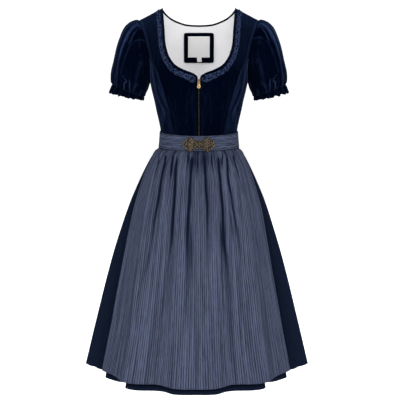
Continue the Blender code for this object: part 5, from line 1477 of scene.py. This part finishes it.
class DIRNDL_OT_apron(Piecework, bpy.types.Operator):
    """The striped apron and the two halves of its tucked band"""
    bl_idname = "dirndl.apron"
    bl_label = "Apron"

    def execute(self, context):
        points, fold_light = apron()
        points = swayed(points)
        cut = dict(flat=(0.80, 0.70), held="gathered", rests_on=["skirt_front_cloth"])
        self.sew("apron", points, COTTON, ["apron"], "apron", cut, uv=cloth_uv(points, 0.92), height=fold_light)
        band, tone = band_half()
        far = row_lengths(band)
        up = np.broadcast_to(np.linspace(0.0, 0.11, len(band))[:, None], far.shape)
        cut = dict(flat=(0.36, 0.060), held="gathered")
        # The band's finish paints shade, three quarters as strong as on the apron, in the lines between the tucks.
        for side, grid, uv, height in both_sides(band, np.stack([up, far], axis=-1), tone):
            self.sew(f"apron_band_{side}", grid, BAND_WALL, ["band"], "apron", cut, uv=uv, height=height)
        return {"FINISHED"}


def loop(half_wide, half_tall, count, pointed):
    """An oval ring in its own plane, its sides drawn in towards its ends."""
    a = np.linspace(0.0, 2 * np.pi, count, endpoint=False)
    wide = half_wide * np.cos(a) * (1 - pointed * np.sin(a) ** 2)
    return np.stack([wide, half_tall * np.sin(a), np.zeros(count)], axis=-1)


def clasp_outline(inset=0.0):
    """Round one clasp half, seen flat, with u measured from where the halves meet: scallops, a waist, a pointed
    lens and a fan. It may be set in from its edge."""
    upper = along_curve(CLASP_EDGE, np.linspace(0.0, 1.0, PLATE_COLUMNS))
    whole_edge = np.concatenate([upper, upper[-2::-1] * (1, -1)])
    along = unit(np.roll(whole_edge, -1, axis=0) - np.roll(whole_edge, 1, axis=0))
    return whole_edge + np.stack([along[:, 1], -along[:, 0]], axis=-1) * inset


def clasp_plate():
    """The pierced plate: a grid from its spine out to its outline, domed a little, and sunk in a bell at each of
    its holes, which are not cut through; the clasp's finish paints them dark as painted shade."""
    outline = clasp_outline()
    spine = np.stack([np.clip(outline[:, 0], 0.0030, 0.0460), np.zeros(len(outline))], axis=-1)
    share = np.append(np.linspace(0.0, 1.0, PLATE_ROWS), [1.0])[:, None, None]
    flat = spine * (1 - share) + outline * share
    sunk = np.zeros(flat.shape[:2])
    for u, v, radius in CLASP_HOLES:
        for side in (1, -1):
            sunk = np.maximum(sunk, bell(np.linalg.norm(flat - [u, side * v], axis=-1), radius, 4))
    top = PLATE_TOP + PLATE_DOME * (1 - share[..., 0] ** 2) - PLATE_SUNK * sunk
    top[-1] = PLATE_UNDER
    grid = np.concatenate([flat, top[..., None]], axis=-1)
    return grid.reshape(-1, 3), [grid_faces(*grid.shape[:2], closed=True)]


class DIRNDL_OT_clasp(Piecework, bpy.types.Operator):
    """Two filigree halves that hook together over the band's ends"""
    bl_idname = "dirndl.clasp"
    bl_label = "Clasp"

    def execute(self, context):
        wire = self.sizes.wire
        out, lift = np.array([0.0, 0.0, 1.0]), np.array([0.0, 0.0, WIRE_LIFT])
        rim = clasp_outline(RIM_INSET)
        rim = np.concatenate([rim, np.zeros((len(rim), 1))], axis=1) + lift
        lens = np.array([0.0250, 0.0, 0.0]) + lift
        shapes = [
            clasp_plate(), tube(rim, wire * 1.1, out, True),
            tube(loop(0.0082, 0.0205, 56, 0.35) + lens, wire, out, True),
            tube(loop(0.0022, 0.0150, 40, 0.2) + lens, wire * 0.9, out, True),
            ball(np.array([0.0072, 0.0, 0.0006]) + lift, 0.0017, 0.8, 10),
        ]
        for u, v, radius in CLASP_GRAINS:
            shapes += [ball((u, side * v, PLATE_TOP), radius, 0.9, 8) for side in (1, -1)]
        points, faces = joined(shapes)
        points = points - np.array([CLASP_X, 0.0, 0.0])
        # Low points, deep in the sunk holes, are painted near black by the finish: painted shade for the openings.
        height = ease(points[:, 2], 0.0009, 0.0019)
        wall = BAND_WALL + TUCK_DEPTH
        width, front = (through(BAND_RINGS, c, CLASP_Z) + wall for c in ("half_width", "front"))
        depth = plan_point(plan_bearing(CLASP_X, width), width, front, BODICE_ROUND)[1]
        for side, sign in (("right", 1), ("left", -1)):
            turn = Euler((np.radians(90.0 - CLASP_LEAN), 0.0, sign * np.radians(CLASP_TURN))).to_matrix()
            at = np.array([sign * CLASP_X, -depth - CLASP_THICK / 2 - CLASP_OFF, CLASP_Z])
            placed = (points * np.array([sign, 1.0, 1.0])) @ np.array(turn).T + at
            shown = faces if sign > 0 else turned_over(faces)
            piece = add_piece(f"clasp_{side}_filigree", placed, shown, [self.finish("clasp")], height=height)
            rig.replaces(piece, f"clasp_{side}")
            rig.slot(piece, "clasp")
        return {"FINISHED"}


def zip_line():
    """Points down the middle of the zip, level with the velvet beside it."""
    z = np.linspace(ZIP_TOP - TAPE_BELOW_TOP, WAIST_SEAM, ZIP_POINTS)
    beside = form_place(np.full(ZIP_POINTS, ZIP_HALF), z)[:, 1]
    level = np.where(z > ARMPIT, beside, (z - ARMPIT) / (ARMPIT - WAIST_SEAM))
    return np.stack([np.zeros(ZIP_POINTS), bodice_form(1.5, level)[..., 1], z], axis=-1)


def zip_teeth(line, pitch):
    """One block for each half pitch down a line, in turn to the right and left. Each is broader at the middle of
    the chain, where it meets its neighbours."""
    at = np.arange(int((line[0, 2] - line[-1, 2]) / (pitch / 2)))
    middle = np.stack([np.interp(at * pitch / 2, line[0, 2] - line[:, 2], line[:, k]) for k in range(3)], axis=-1)
    side = np.where(at % 2 == 0, 1.0, -1.0)
    corners = np.array([(x, y, z) for x in (-0.0005, 0.0014) for y in (-0.0009, 0.0026) for z in (-0.0006, 0.0006)])
    corners[:4, 2] *= 0.72
    corners[[0, 1, 4, 5], 0] *= 0.85
    across = np.stack([side, np.ones(len(at)), np.ones(len(at))], axis=-1)
    quads = np.array([(0, 1, 3, 2), (4, 6, 7, 5), (0, 4, 5, 1), (2, 3, 7, 6), (0, 2, 6, 4), (1, 5, 7, 3)])
    both = np.where((side > 0)[:, None, None], quads[None], quads[None, :, ::-1])
    return corners[None] * across[:, None] + middle[:, None], [(both + 8 * at[:, None, None]).reshape(-1, 4)]


class DIRNDL_OT_zip(Piecework, bpy.types.Operator):
    """The zip's tape and interlocking teeth, and the brass of its slider and tab"""
    bl_idname = "dirndl.zip"
    bl_label = "Zip"

    def execute(self, context):
        line = zip_line()
        across = np.array([-0.0046, -0.0022, 0.0, 0.0022, 0.0046])
        tape = np.repeat(line[::-1, None], len(across), axis=1)
        tape[..., 0] = across
        tape[..., 1] += TAPE_DEEP
        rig.slot(cloth("zip_tape", tape, TAPE, [self.finish("velvet")]), "velvet")
        teeth = add_piece("zip_teeth", *zip_teeth(line, self.sizes.tooth), [self.finish("teeth")])
        teeth.data.shade_flat()
        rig.replaces(teeth, "zip_chain")
        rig.slot(teeth, "brass")
        for node, finish in (("zip_slider", "slider"), ("zip_tab", "tab")):
            data = frame["nodes"][node].data
            data.materials.clear()
            data.materials.append(self.finish(finish))
        return {"FINISHED"}


def inside_back(wide, tall, middle_x, middle_z, inside, count=40, corner=0.0, tilt=0.0):
    """A rectangle that follows the inside of the back, with rounded corners and a small turn."""
    u, v = np.meshgrid(np.linspace(1.0, -1.0, count + 1), np.linspace(-1.0, 1.0, count + 1))
    pull = corner * (1 - np.sqrt(2.0) / 2) * (np.abs(u) * np.abs(v)) ** 14
    flat = np.stack([u * (1 - pull) * wide / 2, v * (1 - pull) * tall / 2], axis=-1)
    x = middle_x + flat[..., 0] * np.cos(tilt) - flat[..., 1] * np.sin(tilt)
    z = middle_z + flat[..., 0] * np.sin(tilt) + flat[..., 1] * np.cos(tilt)
    place = form_place(np.abs(x), z)
    points = bodice_form(place[..., 0], place[..., 1], back=True, inwards=inside)
    points[..., 0], points[..., 2] = x, z
    return points, flat


class DIRNDL_OT_label(Piecework, bpy.types.Operator):
    """Velvet patch, bare label and folded size tab inside the back"""
    bl_idname = "dirndl.label"
    bl_label = "Label"

    def execute(self, context):
        inside = VELVET + LINING_GAP + LINING + PATCH_GAP
        points, uv = inside_back(PATCH, PATCH, 0.0, PATCH_Z, inside, corner=0.14)
        self.sew("label_patch", points, LINING, ["velvet"], "velvet", dict(flat=(PATCH, PATCH), held="laid"), uv=uv)
        inside += LINING + LABEL_GAP
        points, uv = inside_back(LABEL, LABEL_TALL, 0.0, LABEL_Z, inside)
        cut = dict(flat=(LABEL, LABEL_TALL), held="laid")
        self.sew("label", points, LABEL_THICK, ["label"], "label", cut, uv=uv)
        points, uv = inside_back(TAG, TAG, 0.0016, TAG_Z, inside, 8, tilt=0.10)
        self.sew("size_tag", points, LABEL_THICK, ["tag"], "label", dict(flat=(TAG, TAG), held="folded"), uv=uv)
        return {"FINISHED"}


class DIRNDL_OT_stage(Piecework, bpy.types.Operator):
    """Pale floor, white surroundings, soft lights and the camera"""
    bl_idname = "dirndl.stage"
    bl_label = "Stage"

    def execute(self, context):
        scene = context.scene
        self.add_floor(scene)
        self.add_world(scene)
        for lamp in LAMPS:
            data = bpy.data.lights.new(lamp.name, "AREA")
            data.size, data.energy = lamp.size, lamp.power
            made = bpy.data.objects.new(lamp.name, data)
            made.location = lamp.at
            aim = np.array(LAMPS_AIM) - np.array(lamp.at)
            made.rotation_euler = (np.arctan2(np.hypot(aim[0], aim[1]), -aim[2]), 0.0, np.arctan2(-aim[0], aim[1]))
            scene.collection.objects.link(made)
        data = bpy.data.cameras.new("camera")
        data.lens, data.sensor_width, data.shift_x = FOCAL_PIXELS / PICTURE * SENSOR, SENSOR, FRAME_SHIFT
        camera = bpy.data.objects.new("camera", data)
        camera.location = (0.0, -self.sizes.camera, CAMERA_Z)
        camera.rotation_euler = (np.radians(CAMERA_TILT), 0.0, 0.0)
        scene.collection.objects.link(camera)
        scene.camera = camera
        return {"FINISHED"}

    def add_floor(self, scene):
        """A large square that glows a little, so that it stays pale."""
        corners = np.array([(-1, -1), (1, -1), (1, 1), (-1, 1)]) * FLOOR_HALF
        points = np.concatenate([corners, np.full((4, 1), self.sizes.floor)], axis=1)
        mesh = bpy.data.meshes.new("floor")
        mesh.from_pydata(points.tolist(), [], [(0, 1, 2, 3)])
        mesh.materials.append(Sheet("floor", {
            "Base Color": (0.95, 0.95, 0.95, 1), "Roughness": 0.9, "Specular IOR Level": 0.0,
            "Emission Color": (1, 1, 1, 1), "Emission Strength": FLOOR_GLOW,
        }).material)
        floor = bpy.data.objects.new("floor", mesh)
        scene.collection.objects.link(floor)
        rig.stage(floor)

    def add_world(self, scene):
        """White all round, brighter where it is seen than where it lights."""
        world = bpy.data.worlds.new("white")
        world.use_nodes = True
        tree = world.node_tree
        back = tree.nodes["Background"]
        back.inputs["Color"].default_value = (1.0, 1.0, 1.0, 1.0)
        seen = tree.nodes.new("ShaderNodeLightPath").outputs["Is Camera Ray"]
        strength = tree.nodes.new("ShaderNodeMapRange")
        strength.inputs[3].default_value, strength.inputs[4].default_value = WORLD_LIGHT, WORLD_SEEN
        tree.links.new(seen, strength.inputs[0])
        tree.links.new(strength.outputs[0], back.inputs["Strength"])
        scene.world = world
        scene.view_settings.view_transform = "Standard"


STEPS = [
    DIRNDL_OT_bodice, DIRNDL_OT_lining, DIRNDL_OT_sleeves, DIRNDL_OT_edging, DIRNDL_OT_skirt, DIRNDL_OT_apron,
    DIRNDL_OT_clasp, DIRNDL_OT_zip, DIRNDL_OT_label, DIRNDL_OT_stage,
]


class DIRNDL_PT_panel(bpy.types.Panel):
    """Lists the pieces in the order in which they are made"""
    bl_idname = "DIRNDL_PT_panel"
    bl_label = "Dirndl"
    bl_space_type = "VIEW_3D"
    bl_region_type = "UI"
    bl_category = "Dirndl"

    def draw(self, context):
        for group in (context.scene.dirndl_sizes, context.scene.dirndl_colours):
            for name in group.bl_rna.properties.keys():
                if name not in ("rna_type", "name"):
                    self.layout.prop(group, name)
        for step in STEPS:
            self.layout.operator(step.bl_idname)


CLASSES = [DIRNDL_PG_sizes, DIRNDL_PG_colours, *STEPS, DIRNDL_PT_panel]


def register():
    for made in CLASSES:
        bpy.utils.register_class(made)
    bpy.types.Scene.dirndl_sizes = PointerProperty(type=DIRNDL_PG_sizes)
    bpy.types.Scene.dirndl_colours = PointerProperty(type=DIRNDL_PG_colours)


def unregister():
    del bpy.types.Scene.dirndl_sizes
    del bpy.types.Scene.dirndl_colours
    for made in reversed(CLASSES):
        bpy.utils.unregister_class(made)


def main():
    register()
    for step in STEPS:
        group, name = step.bl_idname.split(".")
        getattr(getattr(bpy.ops, group), name)()
    boxes = {"cad": BOX_AT_LOAD, "visual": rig.bounds()}
    with open("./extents.json", "w") as file:
        json.dump({key: [[float(v) for v in corner] for corner in box] for key, box in boxes.items()}, file)


if __name__ == "__main__":
    main()
